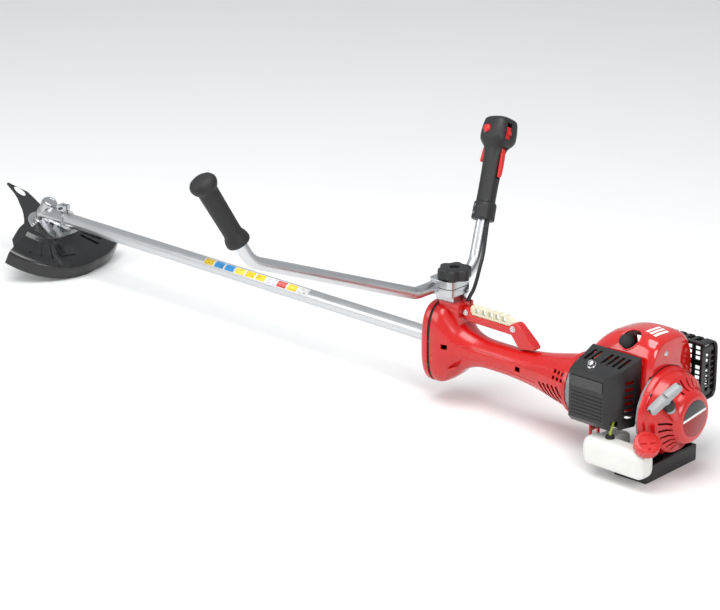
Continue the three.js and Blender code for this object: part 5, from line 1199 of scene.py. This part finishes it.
for k in range(6):
    x = -526 + 17 * k
    bars = [block((x - 0.5, -118.8, z - 1.3), (x + 10.5, -116.4, z + 1.3)) for z in (12, 21, 30, 56, 65, 74)]
    for index, bar in enumerate(bars):
        made("muffler_guard_bar_%d_%d" % (k, index), bar, LINE, air_black, "machine", bevel=0.5)
for k in range(2):
    for index, z in enumerate((18, 28, 38, 48, 58, 68)):
        bar = block((-539.6, -113 + 14 * k, z - 1.6), (-537.4, -102 + 14 * k, z + 1.6))
        made("muffler_guard_rung_%d_%d" % (k, index), bar, LINE, air_black, "machine", bevel=0.5)
made("muffler_guard_lug", side_plate([(-426, 40), (-408, 44), (-404, 52), (-408, 60), (-426, 64)], 1.6, -90),
     LINE, blackened_steel, "machine", cuts=[rod((-413, -96, 52), (-413, -84, 52), 3.0)], bevel=0.4)


# ---- fuel tank ------------------------------------------------------------------------------------------
# Milky blown polyethylene, thin enough to show the fuel's level, slung under the left of the engine.
tank_skin = new_material("milky_polyethylene")
where = add_node(tank_skin, "ShaderNodeTexCoord")
cloud = add_node(tank_skin, "ShaderNodeTexNoise", {0: where.outputs["Object"], "Scale": 28.0, "Detail": 4.0})
shade = add_node(tank_skin, "ShaderNodeMix",
                 {0: cloud.outputs[0], 6: colour("#e4e4de"), 7: colour("#f2f2ee")}, data_type="RGBA")
grain = add_node(tank_skin, "ShaderNodeTexNoise", {0: where.outputs["Object"], "Scale": 620.0, "Detail": 2.0})
relief = add_node(tank_skin, "ShaderNodeBump",
                  {"Strength": 0.3, "Distance": 0.00006, "Height": grain.outputs[0]})
surface(tank_skin, {"Base Color": shade.outputs[2], "Normal": relief.outputs[0], "Roughness": 0.36,
                    "Transmission Weight": 0.18, "Subsurface Weight": 0.25,
                    "Subsurface Radius": (0.012, 0.011, 0.01)})
CAP_AT = Vector((-560, 95, -24))
CAP_WAY = Vector((-0.45, 0.35, 0.82)).normalized()
cap_place = Matrix.Translation(CAP_AT) @ CAP_WAY.to_track_quat("Z", "X").to_matrix().to_4x4()


def cut_face(low, high, radius):
    """A round tool along the filler's axis, from low to high above the cap's seat."""
    return rod(CAP_AT + low * CAP_WAY, CAP_AT + high * CAP_WAY, radius, steps=72)


tank_parts = []
for inset in (0, 2.0):
    rings = []
    for along, middle, half, up, down, power in eased(
            [(-562 + inset, -63, 13.2, 16, 16, 3.2), (-560.6 + inset, -63, 15, 18.6, 18.6, 3.4),
             (-555 + inset, -61.6, 17.4, 22, 23.4, 3.8), (-548, -61, 18, 23.4, 25, 4),
             (-500, -61, 18, 25, 25, 4), (-454, -61, 18, 25, 25, 4), (-446 - inset, -61, 16.2, 22.6, 22.6, 3.8),
             (-441.4 - inset, -61, 13.6, 19.4, 19.4, 3.5), (-440 - inset, -61, 12, 17.6, 17.6, 3.3)], 4):
        rings.append([(along, 94 + y * (half - inset), middle + z * ((up if z > 0 else down) - inset))
                      for y, z in oval(1, 1, power, 96)])
    tank_parts.append(lofted(rings))
    rings = []
    for along, half, tall in eased([(-473 + inset, 39, 17), (-471 + inset, 41.4, 19.4), (-466, 42, 20),
                                    (-451, 42, 20), (-446 - inset, 41.4, 19.4), (-444 - inset, 39, 17)], 4):
        rings.append([(along, 62 + y * (half - inset), -64 + z * (tall - inset))
                      for y, z in oval(1, 1, 4, 80)])
    tank_parts.append(lofted(rings))
made("fuel_tank_blow_moulding", tank_parts[0], LINE, tank_skin, "machine", "fuel_tank",
     joined=[tank_parts[1], cut_face(-16, -2, 15)],
     cuts=[cut_face(-1.9, 40, 27), tank_parts[2], tank_parts[3], cut_face(-30, 0, 12),
           rod((-482, 90, -44), (-482, 90, -32), 3.0)], bevel=0.6, angle=46, slot="tank")
made("tank_grommet",
     spun([(-37, 3.1), (-37, 7.4), (-34.6, 8), (-31.4, 7), (-30, 4.6), (-30, 3.1), (-37, 3.1)], 48, "Z"),
     LINE @ Matrix.Translation((-0.482, 0.09, 0)), seam_rubber, "machine", bevel=0.4)
# The cap: red, ribbed for the fingers, with a raised cross to turn it by.
cap_ring = []
for step in range(240):
    angle = 2 * pi * step / 240
    radius = 22 - 0.9 * (0.5 - 0.5 * cos(16 * angle)) ** 3
    cap_ring.append((radius * cos(angle), radius * sin(angle)))
cap_body = lofted([[(x * share, y * share, height) for x, y in cap_ring]
                   for height, share in ((-8, 0.97), (-7, 1.0), (4.6, 1.0), (6.4, 0.985), (7, 0.95))])
cross = [turned_to(block((-13.4, -2.4, 7), (13.4, 2.4, 10)), Matrix.Rotation(pi * turn / 2, 4, "Z"))
         for turn in range(2)]
crown = spun([(6, 0), (6, 19.6), (7.6, 18.8), (8.2, 17.4), (8.2, 15.6), (7.3, 15), (7.3, 0)], 80, "Z")
cap_red = moulded("red_cap_nylon", "#c5150f", 0.34, 1.2, 0.03, coat=0.25)
made("fuel_cap_moulding", cap_body, LINE @ Matrix.Translation(CAP_AT / 1000) @ cap_place.to_3x3().to_4x4(),
     cap_red, "fuel_cap", "fuel_cap", joined=[crown, *cross],
     cuts=[rod((0, 0, -9), (0, 0, 4), 16.5, steps=72)], bevel=0.5, segments=3, angle=40, slot="redp")
# Yellow-green fuel line, clear enough to glow at its edges.
line_pvc = moulded("yellow_green_pvc", "#b7c63a", 0.25, 2.0, 0.01, coat=0.3)
surface(line_pvc, {"Transmission Weight": 0.35})
fuel_way = smooth_route([(-482, 90, -42), (-482, 90, -28), (-480, 80, -12), (-474, 66, 8), (-468, 58, 28),
                         (-462, 56, 38)], 10)
made("fuel_line_tube", tubed(fuel_way, 2.5, 24), LINE, line_pvc, "machine", "fuel_line", angle=180,
     slot="line")


# ---- tank bracket ---------------------------------------------------------------------------------------
# A red strap with three windows that ties the tank's front to the air cleaner.
made("tank_bracket_moulding", block((-424, 41, -84), (-420, 67, -22.3)), LINE, housing_red, "machine",
     "tank_bracket", cuts=[block((-430, 46, -80 + 19 * k), (-410, 62, -67 + 19 * k)) for k in range(3)],
     bevel=0.8, segments=3, slot="redp")


# ---- engine stand ---------------------------------------------------------------------------------------
# The black foot under the engine: a hollow moulding scooped out under the fan, with a seam down each
# side where its two halves meet.
stand = block((-543, -70, -108), (-477, 70, -79))
bridge = block((-505, -29, -107), (-480, 29, -79))
made("engine_stand_moulding", stand, LINE, air_black, "machine", "engine_stand",
     cuts=[block((-538, -66, -104), (-482, 66, -60)), rod((-560, 0, 0), (-485.5, 0, 0), 75, steps=96)],
     bevel=2.6, segments=4, angle=24, slot="blackp")
made("engine_stand_bridge", bridge, LINE, air_black, "machine",
     cuts=[rod((-560, 0, 0), (-470, 0, 0), 75, steps=96)], bevel=0.8)
for index, y in enumerate((-70.2, 70.2)):
    seam = block((-511, y - 0.6, -104), (-509, y + 0.6, -83))
    made("stand_seam_%d" % index, seam, LINE, seam_rubber, "machine", bevel=0.2)


# ---- the whole ------------------------------------------------------------------------------------------
# Measures the finished machine's bounds, leaving out the floor.
low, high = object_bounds()
